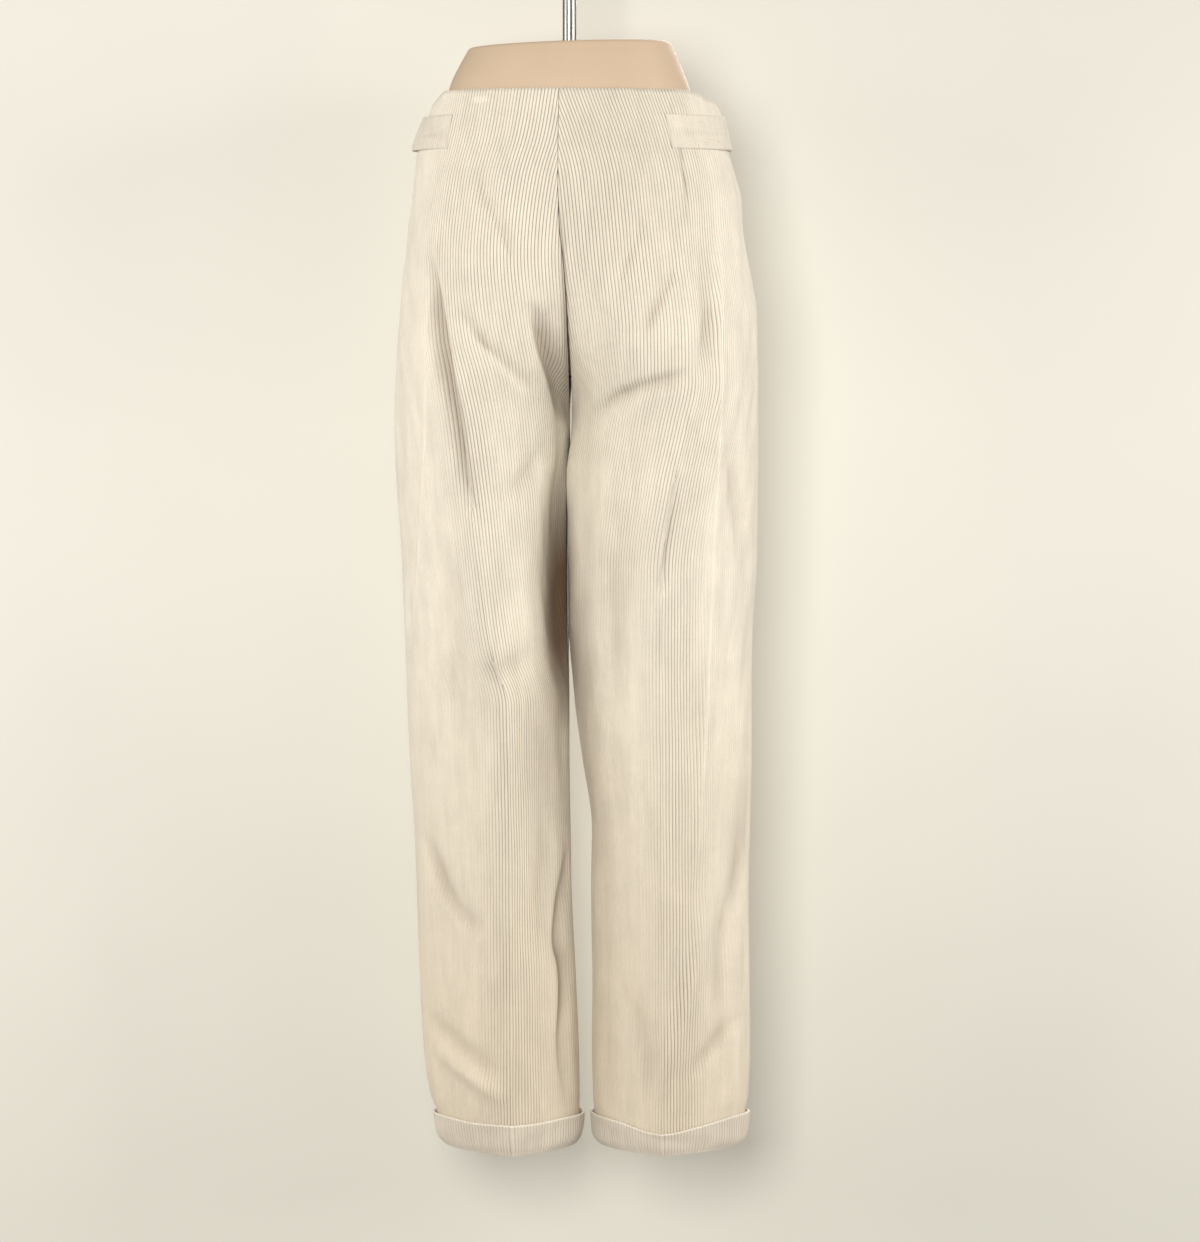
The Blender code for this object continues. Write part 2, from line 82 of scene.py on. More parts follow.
# ---- how finely the surface is worked out ----
PANEL_SHARES = 321        # places across a panel
LOOP_SHARES = 161         # places across one face in a level loop round the leg
PER_WALE = 4              # columns of the mesh to each wale
TAB_STEPS = 26            # steps of a tab along each face
TAB_ROWS = 22
TURN_STEP = 0.02          # turn either side of a place that gives its direction

# ---- sections: one row for each height ----
OUTLINE_COLUMNS = ("z", "left_out", "left_in", "right_in", "right_out")
OUTLINE = (
    (-0.134, -0.1240, -0.0090, -0.0090, 0.1300),
    (-0.158, -0.1330, -0.0095, -0.0095, 0.1435),
    (-0.172, -0.1385, -0.0098, -0.0098, 0.1465),
    (-0.192, -0.1445, -0.0100, -0.0100, 0.1505),
    (-0.222, -0.1480, -0.0100, -0.0100, 0.1590),
    (-0.241, -0.1502, -0.0098, -0.0098, 0.1637),
    (-0.270, -0.1542, -0.0085, -0.0085, 0.1653),
    (-0.297, -0.1565, -0.0054, -0.0054, 0.1698),
    (-0.317, -0.1590, -0.0037, -0.0037, 0.1740),
    (-0.351, -0.1625, -0.0018, -0.0018, 0.1790),
    (-0.406, -0.1664, 0.0002, 0.0008, 0.1802),
    (-0.441, -0.1677, 0.0006, 0.0014, 0.1804),
    (-0.494, -0.1670, -0.0005, 0.0003, 0.1805),
    (-0.582, -0.1615, -0.0018, -0.0010, 0.1799),
    (-0.656, -0.1589, -0.0015, -0.0005, 0.1760),
    (-0.720, -0.1573, 0.0000, 0.0040, 0.1754),
    (-0.771, -0.1550, 0.0000, 0.0105, 0.1757),
    (-0.846, -0.1510, 0.0012, 0.0205, 0.1745),
    (-0.901, -0.1490, 0.0020, 0.0195, 0.1733),
    (-0.994, -0.1460, 0.0063, 0.0208, 0.1746),
    (-1.063, -0.1424, 0.0090, 0.0205, 0.1752),
    (-1.108, -0.1357, 0.0098, 0.0215, 0.1735),
    (-1.122, -0.1300, 0.0095, 0.0230, 0.1708),
    (-1.140, -0.1275, 0.0088, 0.0242, 0.1704),
    (-1.149, -0.1242, 0.0068, 0.0264, 0.1684),
    (-1.154, -0.1200, 0.0035, 0.0300, 0.1655),
)
# How deep the ring is behind and before its middle, and how sharply it is pressed.
DEPTH_COLUMNS = ("z", "back", "front", "press_back", "press_front")
DEPTH = (
    (-0.134, 0.090, 0.094, 0.00, 0.00),
    (-0.194, 0.101, 0.101, 0.02, 0.03),
    (-0.264, 0.113, 0.107, 0.06, 0.08),
    (-0.334, 0.120, 0.110, 0.10, 0.12),
    (-0.402, 0.119, 0.110, 0.18, 0.18),
    (-0.482, 0.110, 0.104, 0.28, 0.28),
    (-0.622, 0.096, 0.092, 0.38, 0.38),
    (-0.800, 0.079, 0.077, 0.46, 0.46),
    (-1.000, 0.066, 0.065, 0.50, 0.50),
    (-1.154, 0.058, 0.057, 0.46, 0.46),
)
# Where the pressed creases run.
CREASE_COLUMNS = ("z", "left_back", "left_front", "right_front", "right_back")
CREASE = (
    (-0.134, -0.106, -0.074, 0.078, 0.088),
    (-0.179, -0.113, -0.079, 0.085, 0.1005),
    (-0.225, -0.121, -0.083, 0.089, 0.1090),
    (-0.286, -0.125, -0.085, 0.093, 0.1120),
    (-0.368, -0.1187, -0.086, 0.096, 0.1180),
    (-0.410, -0.1100, -0.085, 0.096, 0.1190),
    (-0.453, -0.1010, -0.084, 0.095, 0.1110),
    (-0.512, -0.0927, -0.081, 0.093, 0.0980),
    (-0.595, -0.0830, -0.078, 0.091, 0.0860),
    (-0.665, -0.0730, -0.076, 0.090, 0.0860),
    (-0.718, -0.0580, -0.074, 0.090, 0.0865),
    (-0.900, -0.0560, -0.070, 0.092, 0.0880),
    (-1.154, -0.0555, -0.061, 0.097, 0.0890),
)
FRONT_SEAM_SHIFT = ((-0.134, 0.026), (-0.300, 0.013), (-0.390, 0.004), (-0.441, 0.0))

# ---- folds: a soft trough (height below 0) or ridge along a line of points on one face ----
# Columns: face, height, near, far, points. near and far are the widths of its two flanks, so that one
# flank can be steeper.
FOLDS = (
    # back: the seat
    (BACK, -0.0092, 0.006, 0.008, ((-0.036, -0.338), (-0.026, -0.372), (-0.012, -0.410), (-0.002, -0.456))),
    (BACK, -0.0046, 0.005, 0.008, ((-0.104, -0.338), (-0.085, -0.368), (-0.059, -0.397), (-0.034, -0.423))),
    (BACK, -0.0032, 0.004, 0.008, ((-0.084, -0.222), (-0.066, -0.265), (-0.047, -0.310))),
    (BACK, -0.0125, 0.010, 0.0045, ((-0.131, -0.290), (-0.119, -0.368), (-0.110, -0.412), (-0.101, -0.453),
                                    (-0.088, -0.535))),
    (BACK, -0.0046, 0.008, 0.006, ((0.012, -0.462), (0.034, -0.434), (0.055, -0.421), (0.085, -0.411),
                                   (0.120, -0.400))),
    (BACK, -0.0034, 0.006, 0.009, ((0.040, -0.340), (0.053, -0.303), (0.068, -0.262))),
    (BACK, -0.0032, 0.006, 0.009, ((0.064, -0.378), (0.083, -0.338), (0.104, -0.298))),
    (BACK, -0.0034, 0.007, 0.008, ((0.123, -0.255), (0.127, -0.334), (0.137, -0.400))),
    (BACK, -0.0026, 0.005, 0.007, ((0.134, -0.338), (0.127, -0.372), (0.119, -0.408))),
    (BACK, 0.0028, 0.010, 0.014, ((-0.048, -0.290), (-0.062, -0.350), (-0.072, -0.430))),
    (BACK, 0.0026, 0.010, 0.014, ((0.024, -0.260), (0.034, -0.330), (0.056, -0.400))),
    (BACK, -0.0016, 0.0014, 0.0022, ((0.0935, -0.160), (0.1005, -0.181), (0.1070, -0.215), (0.1105, -0.262))),
    (BACK, -0.0028, 0.006, 0.009, ((-0.022, -0.470), (-0.040, -0.500), (-0.062, -0.520))),
    # back: the right leg
    (BACK, 0.0030, 0.004, 0.006, ((0.141, -0.262), (0.142, -0.336), (0.141, -0.429), (0.136, -0.560))),
    (BACK, 0.0034, 0.006, 0.010, ((0.136, -0.545), (0.132, -0.654), (0.127, -0.766), (0.120, -0.900))),
    (BACK, 0.0046, 0.009, 0.011, ((0.131, -0.900), (0.127, -0.950), (0.109, -1.030), (0.099, -1.078))),
    (BACK, -0.0062, 0.004, 0.007, ((0.102, -0.494), (0.094, -0.530), (0.087, -0.570), (0.086, -0.612))),
    (BACK, -0.0055, 0.009, 0.008, ((0.171, -0.790), (0.166, -0.870), (0.150, -0.935), (0.143, -0.985),
                                   (0.146, -1.050), (0.150, -1.108))),
    (BACK, -0.0036, 0.006, 0.009, ((0.110, -1.085), (0.135, -1.056), (0.168, -1.022))),
    (BACK, -0.0034, 0.010, 0.014, ((0.040, -0.520), (0.046, -0.620), (0.044, -0.740))),
    (BACK, 0.0026, 0.012, 0.016, ((0.062, -0.600), (0.066, -0.760), (0.060, -0.940))),
    (BACK, -0.0030, 0.007, 0.011, ((0.052, -0.985), (0.070, -1.040), (0.078, -1.108))),
    (BACK, -0.0040, 0.006, 0.009, ((0.150, -0.460), (0.158, -0.520), (0.166, -0.600))),
    # back: the left leg
    (BACK, -0.0068, 0.015, 0.012, ((-0.010, -0.495), (-0.012, -0.560), (-0.012, -0.630), (-0.005, -0.710))),
    (BACK, -0.0030, 0.010, 0.014, ((-0.030, -0.664), (-0.056, -0.682), (-0.092, -0.690))),
    (BACK, -0.0055, 0.005, 0.009, ((-0.141, -0.846), (-0.125, -0.890), (-0.110, -0.918), (-0.084, -0.942))),
    (BACK, 0.0052, 0.007, 0.009, ((-0.135, -1.052), (-0.100, -1.077), (-0.062, -1.103))),
    (BACK, -0.0040, 0.007, 0.009, ((-0.136, -1.026), (-0.104, -1.052), (-0.070, -1.078))),
    (BACK, 0.0020, 0.003, 0.004, ((-0.134, -0.470), (-0.139, -0.539), (-0.145, -0.613), (-0.154, -0.660))),
    (BACK, -0.0034, 0.010, 0.014, ((-0.112, -0.560), (-0.108, -0.680), (-0.100, -0.800))),
    (BACK, -0.0034, 0.009, 0.012, ((-0.030, -0.740), (-0.024, -0.850), (-0.030, -0.970))),
    (BACK, -0.0076, 0.004, 0.006, ((0.000, -0.860), (-0.0145, -0.945), (-0.003, -0.981), (-0.010, -1.055),
                                   (-0.002, -1.104))),
    (BACK, 0.0030, 0.008, 0.010, ((-0.104, -0.620), (-0.126, -0.700), (-0.138, -0.800))),
    # front, out of the first view
    (FRONT, -0.0042, 0.006, 0.010, ((-0.088, -0.408), (-0.050, -0.436), (-0.014, -0.450))),
    (FRONT, -0.0030, 0.007, 0.010, ((0.020, -0.446), (0.058, -0.420), (0.086, -0.384))),
    (FRONT, -0.0052, 0.006, 0.009, ((-0.050, -0.300), (-0.034, -0.350), (-0.012, -0.410))),
    (FRONT, -0.0044, 0.006, 0.009, ((0.062, -0.290), (0.044, -0.350), (0.022, -0.415))),
    (FRONT, -0.0032, 0.009, 0.013, ((-0.106, -0.650), (-0.074, -0.680), (-0.040, -0.700))),
    (FRONT, -0.0028, 0.009, 0.014, ((0.050, -0.732), (0.090, -0.712), (0.136, -0.680))),
    (FRONT, 0.0034, 0.009, 0.012, ((-0.120, -0.520), (-0.118, -0.640), (-0.110, -0.800))),
    (FRONT, 0.0034, 0.009, 0.012, ((0.134, -0.500), (0.132, -0.640), (0.126, -0.820))),
    (FRONT, -0.0034, 0.009, 0.012, ((-0.126, -1.040), (-0.086, -1.070), (-0.040, -1.100))),
    (FRONT, -0.0026, 0.010, 0.013, ((0.048, -1.084), (0.090, -1.062), (0.140, -1.028))),
    (FRONT, -0.0034, 0.007, 0.010, ((-0.120, -0.905), (-0.090, -0.930), (-0.060, -0.940))),
    (FRONT, -0.0034, 0.007, 0.010, ((0.060, -0.930), (0.090, -0.918), (0.130, -0.880))),
    (FRONT, -0.0060, 0.005, 0.008, ((0.166, -0.820), (0.152, -0.930), (0.150, -1.060))),
    (FRONT, -0.0044, 0.008, 0.010, ((-0.120, -0.340), (-0.108, -0.420), (-0.094, -0.500))),
)

# ---- painted shade where little light comes, so the pile is painted darker ----
# They are laid out like the folds: a height of 1 is the darkest painted shade, and one below 0 is a painted
# highlight, a lighter line.
PAINTED_SHADE_LINES = (
    (BACK, 1.00, 0.0125, 0.009, ((0.000, -0.500), (-0.001, -0.560), (-0.0050, -0.640), (-0.004, -0.705),
                                 (0.001, -0.750))),
    (BACK, 0.22, 0.022, 0.020, ((-0.012, -0.640), (-0.024, -0.700), (-0.026, -0.780), (-0.020, -0.860))),
    (BACK, 0.48, 0.004, 0.015, ((-0.032, -0.340), (-0.020, -0.385), (-0.011, -0.430), (-0.006, -0.480))),
    (BACK, 0.45, 0.003, 0.003, ((-0.008, -0.240), (-0.004, -0.320), (-0.001, -0.400), (0.0, -0.470))),
    (BACK, 0.30, 0.010, 0.010, ((0.004, -0.520), (0.010, -0.640), (0.014, -0.760), (0.026, -0.900))),
    (BACK, 0.11, 0.060, 0.075, ((0.042, -0.040), (0.042, -0.200), (0.042, -0.360))),
    (BACK, 0.30, 0.0012, 0.0016, ((0.0935, -0.150), (0.1005, -0.181), (0.1070, -0.215), (0.1105, -0.270))),
    (BACK, -0.34, 0.009, 0.020, ((0.008, -0.330), (0.011, -0.420), (0.013, -0.500), (0.014, -0.620))),
    (BACK, -0.30, 0.016, 0.006, ((-0.010, -0.430), (-0.008, -0.465), (-0.008, -0.500))),
    (BACK, -0.14, 0.030, 0.030, ((0.156, -0.860), (0.152, -0.980), (0.150, -1.120))),
    (BACK, -0.50, 0.0011, 0.0011, ((0.141, -0.250), (0.142, -0.336), (0.141, -0.429), (0.136, -0.560),
                                   (0.132, -0.654), (0.127, -0.766), (0.120, -0.900))),
    (BACK, -0.45, 0.0011, 0.0011, ((-0.134, -0.300), (-0.135, -0.440), (-0.139, -0.539), (-0.145, -0.613),
                                   (-0.154, -0.670))),
    (BACK, -0.30, 0.0011, 0.0011, ((0.166, -0.590), (0.158, -0.640), (0.148, -0.690))),
    (FRONT, 0.45, 0.010, 0.010, ((0.0, -0.440), (0.0, -0.560), (0.0, -0.680), (0.004, -0.780))),
)

# ---- the pile and the cloth's small waves ----
# Columns: middle and width of the band beside the crease where the wales stay crisp, crushing of the seat.
CRISP = {LEFT: (-0.008, 0.040, 0.80), RIGHT: (0.018, 0.032, 0.45)}
FOLD_FADE = 0.012         # folds fade out this near to a seam
SOFT_FADE = 0.020         # small waves fade out this near to a seam
ROLL_WIDTH = 0.0016       # width over which an edge rolls in
# painted shade: a fold this deep or deeper gets the darkest shade painted into its pile
DEEPEST = 0.0085          # depth of fold at which a hollow is darkest
# The lines that the waist facing's edges press through the back.
FACING_LINES = (-0.1625, -0.1920)

# ---- what is sewn on ----
# Columns: node, side, back_end_x, front_end_x, stand_off.
TABS = (
    ("side_tab_left", LEFT, -0.112, -0.100, 0.0035),
    ("side_tab_right", RIGHT, 0.093, 0.108, 0.0016),
)
FLY_SHARE = 0.50
FLY_TOP = WAIST_SIDE - 0.001
FLY_LENGTH = 0.165
BUTTON_LIFT = 0.0007      # thread between a button and the cloth
BUTTON_DISH = 0.60        # height of a button's dished middle against its rim
HOLE_APART = 0.20         # a button hole's way from the middle against the button's radius

# ---- hip form ----
FORM_ROLL = 0.034
FORM_COLUMNS = ("z", "half_width", "half_depth")
FORM = (
    (-0.0950, 0.0935, 0.0690),
    (-0.0958, 0.0953, 0.0708),
    (-0.0985, 0.0970, 0.0725),
    (-0.1140, 0.1050, 0.0785),
    (-0.1360, 0.1142, 0.0842),
    (-0.1680, 0.1215, 0.0870),
    (-0.2130, 0.1300, 0.0885),
    (-0.2720, 0.1380, 0.0920),
    (-0.3300, 0.1350, 0.0880),
    (-0.3700, 0.1180, 0.0680),
    (-0.3930, 0.0880, 0.0460),
    (-0.4040, 0.0560, 0.0280),
    (-0.4075, 0.0240, 0.0120),
)

# ---- camera ----
EYE_HEIGHT = -0.335
AIM = (0.0289, 0.0, -0.644)
EYE_DISTANCE = 3.5
VIEW_HEIGHT = 1.1960      # height of the picture at the trousers

# ---- lights: columns are name, place, width, power, share of that power, colour ----
LIGHT_AIM = (0.02, 0.0, -0.62)
LIGHTS = (
    ("key", (-0.48, -3.0, 0.0), 1.1, "key_power", 1.0, (1.0, 0.98, 0.94)),
    ("left", (-2.9, -1.0, 0.1), 1.3, "side_power", 0.88, (1.0, 0.98, 0.95)),
    ("right", (2.9, -1.1, 0.1), 1.3, "side_power", 1.40, (1.0, 0.98, 0.95)),
    ("back", (0.8, 3.2, 1.2), 2.0, "back_power", 1.0, (1.0, 0.98, 0.95)),
)


# ======================================================================================
# Curves and the cloth's surface
# ======================================================================================
class Column:
    """One named column of a table as a monotone cubic over the heights."""

    def __init__(self, table, names, name):
        index = names.index(name)
        rows = sorted(table)
        self.heights = np.array([row[0] for row in rows])
        self.values = np.array([row[index] for row in rows])
        self.step = np.diff(self.heights)
        slope = np.diff(self.values) / self.step
        self.tangent = np.zeros(len(rows))
        for k in range(1, len(rows) - 1):
            if slope[k - 1] * slope[k] > 0:
                self.tangent[k] = 2 * slope[k - 1] * slope[k] / (slope[k - 1] + slope[k])
        self.tangent[0], self.tangent[-1] = slope[0], slope[-1]

    def __call__(self, z):
        z = np.clip(z, self.heights[0], self.heights[-1])
        k = np.clip(np.searchsorted(self.heights, z) - 1, 0, len(self.step) - 1)
        t = (z - self.heights[k]) / self.step[k]
        step = self.step[k]
        near = (1 + 2 * t) * (1 - t) ** 2 * self.values[k] + t * (1 - t) ** 2 * step * self.tangent[k]
        far = t * t * (3 - 2 * t) * self.values[k + 1] - t * t * (1 - t) * step * self.tangent[k + 1]
        return near + far


SIDE_NAME = {LEFT: "left", RIGHT: "right"}
FACE_NAME = {BACK: "back", FRONT: "front"}
EDGE = {name: Column(OUTLINE, OUTLINE_COLUMNS, name) for name in OUTLINE_COLUMNS[1:]}
DEEP = {name: Column(DEPTH, DEPTH_COLUMNS, name) for name in DEPTH_COLUMNS[1:]}
PRESSED = {name: Column(CREASE, CREASE_COLUMNS, name) for name in CREASE_COLUMNS[1:]}
SEAM_SHIFT = Column(FRONT_SEAM_SHIFT, ("z", "shift"), "shift")


def smoothstep(value):
    """0 below 0, 1 above 1, and an S between them."""
    value = np.clip(value, 0.0, 1.0)
    return value * value * (3 - 2 * value)


def unit(vectors):
    """Vectors brought to length 1."""
    return vectors / np.linalg.norm(vectors, axis=-1, keepdims=True)


def travelled(points):
    """Distance along a line of points to each of them."""
    return np.concatenate([[0.0], np.cumsum(np.linalg.norm(np.diff(points, axis=0), axis=1))])


def read_off(target, places, table):
    """Rows of a table, given at places, read off at the target between them."""
    return np.stack([np.interp(target, places, column) for column in table.T], axis=-1)


def reach(z):
    """0 where the ring is centred on the middle seam, 1 where it only just touches it."""
    steps = [np.clip((z - ease - WAIST) / (CROTCH - WAIST), 0.0, 1.0) ** 2.5 for ease in REACH_EASE]
    return sum(steps) / len(steps)


def inner_x(side, face, z):
    """The centre seam above the crotch, the inside leg below it."""
    x = EDGE[SIDE_NAME[side] + "_in"](z)
    return x + SEAM_SHIFT(z) if face == FRONT else x


def ring(side, face, z):
    """Centre and half width of the leg's ring."""
    inner = inner_x(side, face, z)
    half = np.abs(EDGE[SIDE_NAME[side] + "_out"](z) - inner) / (1.0 + reach(z))
    return inner + side * reach(z) * half, half


def turn_at(side, face, z, x):
    """Angle round the ring, 0 at its inner end, of a place across."""
    centre, half = ring(side, face, z)
    return np.arccos(np.clip((centre - x) * side / half, -1.0, 1.0))


def crease_turn(side, face, z):
    """Angle round the ring of the pressed crease."""
    turn = turn_at(side, face, z, PRESSED[SIDE_NAME[side] + "_" + FACE_NAME[face]](z))
    return np.clip(turn, 0.25, math.pi - 0.25)


def share_turn(side, face, share, z):
    """Angle of a share of the panel: 0 at its inner edge, 0.5 on the crease, 1 at the side seam."""
    first = turn_at(side, face, z, inner_x(side, face, z) + side * SEAM_GAP / 2)
    crease = np.maximum(crease_turn(side, face, z), first + 0.05)
    inside = first + (crease - first) * share * 2
    outside = crease + (math.pi - crease) * (share * 2 - 1)
    return np.where(share <= 0.5, inside, outside)


def base_point(side, face, turn, z):
    """The cloth's outer surface without folds."""
    centre, half = ring(side, face, z)
    level = np.cos(turn)
    crease = np.cos(crease_turn(side, face, z))
    tent = np.where(level > crease, (1 - level) / (1 - crease), (1 + level) / (1 + crease))
    press = DEEP["press_" + FACE_NAME[face]](z)
    lift = (1 - press) * np.sin(turn) + press * tent
    y = face * (SEAM_GAP / 2 + DEEP[FACE_NAME[face]](z) * lift)
    return np.stack([centre - side * half * level, y, z + 0 * level], axis=-1)


def rounded(points):
    """The line with its corners cut off twice."""
    line = np.array(points)
    for _ in range(2):
        near = line[:-1] * 0.75 + line[1:] * 0.25
        far = line[:-1] * 0.25 + line[1:] * 0.75
        line = np.concatenate([line[:1], np.stack([near, far], axis=1).reshape(-1, 2), line[-1:]])
    return line


def one_fold(x, z, height, near, far, line):
    """Height of one fold at places given across and up."""
    lengths = np.linalg.norm(np.diff(line, axis=0), axis=1)
    whole = lengths.sum()
    nearest = np.full(x.shape, np.inf)
    signed = np.zeros_like(x)
    along = np.zeros_like(x)
    start = 0.0
    for a, b, length in zip(line[:-1], line[1:], lengths):
        ux, uz = (b - a) / length
        t = np.clip((x - a[0]) * ux + (z - a[1]) * uz, 0.0, length)
        dx, dz = x - a[0] - ux * t, z - a[1] - uz * t
        gap = np.hypot(dx, dz)
        closer = gap < nearest
        nearest = np.where(closer, gap, nearest)
        signed = np.where(closer, np.sign(dx * uz - dz * ux) * gap, signed)
        along = np.where(closer, (start + t) / whole, along)
        start += length
    width = np.where(signed > 0, near, far)
    ends = np.clip(4 * along * (1 - along), 0.0, 1.0) ** 0.9
    return height * ends * np.exp(-(signed / width) ** 2)


def fold_height(face, x, z, folds=FOLDS):
    """Sum of one face's folds at a grid of places on it."""
    total = np.zeros_like(x)
    low, high = z.min(axis=1), z.max(axis=1)
    for fold_face, height, near, far, points in folds:
        if fold_face != face:
            continue
        line = rounded(points)
        spread = 3 * max(near, far)
        rows = np.nonzero((high > line[:, 1].min() - spread) & (low < line[:, 1].max() + spread))[0]
        if len(rows):
            part = slice(rows[0], rows[-1] + 1)
            total[part] += one_fold(x[part], z[part], height, near, far, line)
    return total


def surface_normals(points, face, side):
    """Unit normals of a regular grid of points, away from the leg's inside."""
    normal = np.cross(np.gradient(points, axis=0), np.gradient(points, axis=1))
    normal /= np.maximum(np.linalg.norm(normal, axis=-1, keepdims=True), 1e-12)
    return normal * -(face * side)


def waist_drop(face, share):
    """How far the waist edge lies below its height at the centre back."""
    if face == FRONT:
        return np.full_like(share, WAIST - WAIST_SIDE)
    return (WAIST - WAIST_SIDE) * smoothstep((share - 0.62) / 0.38)


def row_heights(count_above, count_below):
    """Heights of a panel's rows, closer together at the crotch."""
    above = (1.0 - np.arange(count_above) / count_above) ** 1.35
    below = np.arange(count_below + 1) / count_below
    return np.concatenate([CROTCH + (WAIST - CROTCH) * above, CROTCH + (HEM - CROTCH) * below ** 1.05])


def calm(side, face, share, z):
    """1 where the cloth may wave, 0 under a tab, the fly cover and the turn-up."""
    free = smoothstep((z - CUFF_TOP) / 0.012)
    back_end, front_end = TABS[0 if side == LEFT else 1][2:4]
    start = tab_ends(side, back_end, front_end)[0 if face == BACK else 1]
    edge = 0.006
    level = smoothstep((z - TAB_BOTTOM + edge) / edge) * smoothstep((TAB_TOP + edge - z) / edge)
    free = free * (1 - level * smoothstep((share - start + 0.06) / 0.05))
    if face == FRONT and side == RIGHT:
        across = smoothstep((0.5 * FLY_SHARE + 0.05 - share) / 0.04)
        free = free * (1 - across * smoothstep((z - WAIST_SIDE + FLY_LENGTH + 0.01) / 0.01))
    return free


def wale_show(side, grain, z):
    """How clearly the wales stand: crushed on the outer thighs and shins, crisp at the seat and creases."""
    middle, width, crushed = CRISP[side]
    band = np.exp(-((grain - middle) / width) ** 2)
    seat = smoothstep((z + 0.40) / 0.10) * (1 - crushed * smoothstep((grain - 0.004) / 0.030))
    thigh = 0.80 * smoothstep((z + 0.72) / 0.16) * (1 - smoothstep((grain - 0.006) / 0.030))
    show = np.clip(0.30 + 0.75 * np.maximum(np.maximum(seat, thigh), band), 0.0, 1.0)
    inside = smoothstep((-0.066 - grain) / 0.020)
    inside = inside * smoothstep((-0.47 - z) / 0.05) * smoothstep((z + 0.80) / 0.08)
    return show * (1 - 0.85 * inside)


def interlock(grid):
    """Bends both legs' inner sides one way where they touch, so that one lies a little before the other."""
    x, y, z = grid[..., 0], grid[..., 1], grid[..., 2]
    strength = 0.0068 * smoothstep((CROTCH - 0.01 - z) / 0.05) * smoothstep((z + 0.71) / 0.08)
    near = np.exp(-((x - EDGE["left_in"](z)) / 0.024) ** 2)
    wave = np.exp(-((y - 0.026) / 0.017) ** 2) - np.exp(-((y + 0.026) / 0.017) ** 2)
    grid[..., 0] = x + strength * near * wave


def panel_samples(side, face, rows, sizes):
    """Dense grid over a panel: points, normals, distance round the leg from the crease, and painted shading:
    painted shade in folds and hollows, and painted highlights.
    """
    share = np.linspace(0, 1, PANEL_SHARES)[None, :]
    height = rows[:, None]
    above = np.clip((height - CROTCH) / (WAIST - CROTCH), 0.0, 1.0)
    z = height - waist_drop(face, share) * above
    turn = share_turn(side, face, share, z)
    base = base_point(side, face, turn, z)
    normal = surface_normals(base, face, side)

    steps = np.linalg.norm(np.diff(base[..., :2], axis=1), axis=-1)
    round_leg = np.concatenate([np.zeros((len(rows), 1)), np.cumsum(steps, axis=1)], axis=1)
    crease = np.argmin(np.abs(share[0] - 0.5))
    grain = round_leg - round_leg[:, crease:crease + 1]
    from_edge = np.minimum(round_leg, round_leg[:, -1:] - round_leg)

    lift = sizes.fold_strength * fold_height(face, base[..., 0], base[..., 2])
    lift *= smoothstep(from_edge / FOLD_FADE)
    wander = 17.0 * base[..., 2] + 1.3 * face + 0.6 * side
    soft = np.sin(grain * 115 + wander) * np.sin(base[..., 2] * 23 + 2.1 * side + face)
    soft += 0.6 * np.sin(grain * 230 - wander * 1.7) * np.sin(base[..., 2] * 41 + side)
    lift += sizes.softness * soft * smoothstep(from_edge / SOFT_FADE)
    lift *= calm(side, face, share, base[..., 2])
    lift -= sizes.seam_roll * np.exp(-from_edge / ROLL_WIDTH)
    if face == BACK:
        wave = 0.0012 * np.sin(grain * 60 + side)
        for line in FACING_LINES:
            lift -= 0.00028 * np.exp(-((base[..., 2] - line - wave) / 0.0011) ** 2)
    points = base + normal * lift[..., None]
    grain = grain + sizes.seat_lean * np.maximum(0.0, base[..., 2] + 0.36) ** 1.15
    # painted shade and highlights: the listed lines of painted shading, and painted shade that deepens with
    # each fold's depth
    drawn = fold_height(face, base[..., 0], base[..., 2], PAINTED_SHADE_LINES)
    sunk = 0.43 * np.clip(-lift / DEEPEST, 0.0, 1.0) ** 1.4
    painted_shading = np.clip(np.maximum(sunk, drawn), 0.0, 1.0) + np.clip(drawn, -1.0, 0.0)
    return points, surface_normals(points, face, side), grain, painted_shading


def wale_height(grain, pitch):
    """0 in the groove and 1 on top of a rounded wale, whose top lies on the crease."""
    phase = np.abs((grain / pitch + 0.5) % 1.0 - 0.5) * 2
    return np.sqrt(np.clip(1.0 - phase ** 2.2, 0.0, 1.0))


# ======================================================================================
# Meshes
# ======================================================================================
def new_object(name, points, faces, materials, values=None, face_slots=None):
    """Mesh object; values holds its pile's height, its painted shade or painted highlight, and whether it is
    turned up.
    """
    mesh = bpy.data.meshes.new(name)
    mesh.from_pydata(points.tolist() if hasattr(points, "tolist") else points, [], faces)
    for material in materials:
        mesh.materials.append(material)
    if values is not None:
        values = np.asarray(values, dtype=np.float32).reshape(len(points), -1)
        for layer_name, column in zip(("pile", "painted_shading", "turned"), values.T):
            layer = mesh.attributes.new(layer_name, "FLOAT", "POINT")
            layer.data.foreach_set("value", np.ascontiguousarray(column))
    if face_slots is not None:
        mesh.polygons.foreach_set("material_index", np.asarray(face_slots, dtype=np.int32))
    mesh.shade_smooth()
    mesh.validate()
    item = bpy.data.objects.new(name, mesh)
    bpy.context.collection.objects.link(item)
    return item


def compact(points, faces, values):
    """Drops unused points."""
    used = np.zeros(len(points), dtype=bool)
    for face in faces:
        used[list(face)] = True
    order = np.cumsum(used) - 1
    return points[used], [tuple(int(order[i]) for i in face) for face in faces], values[used]


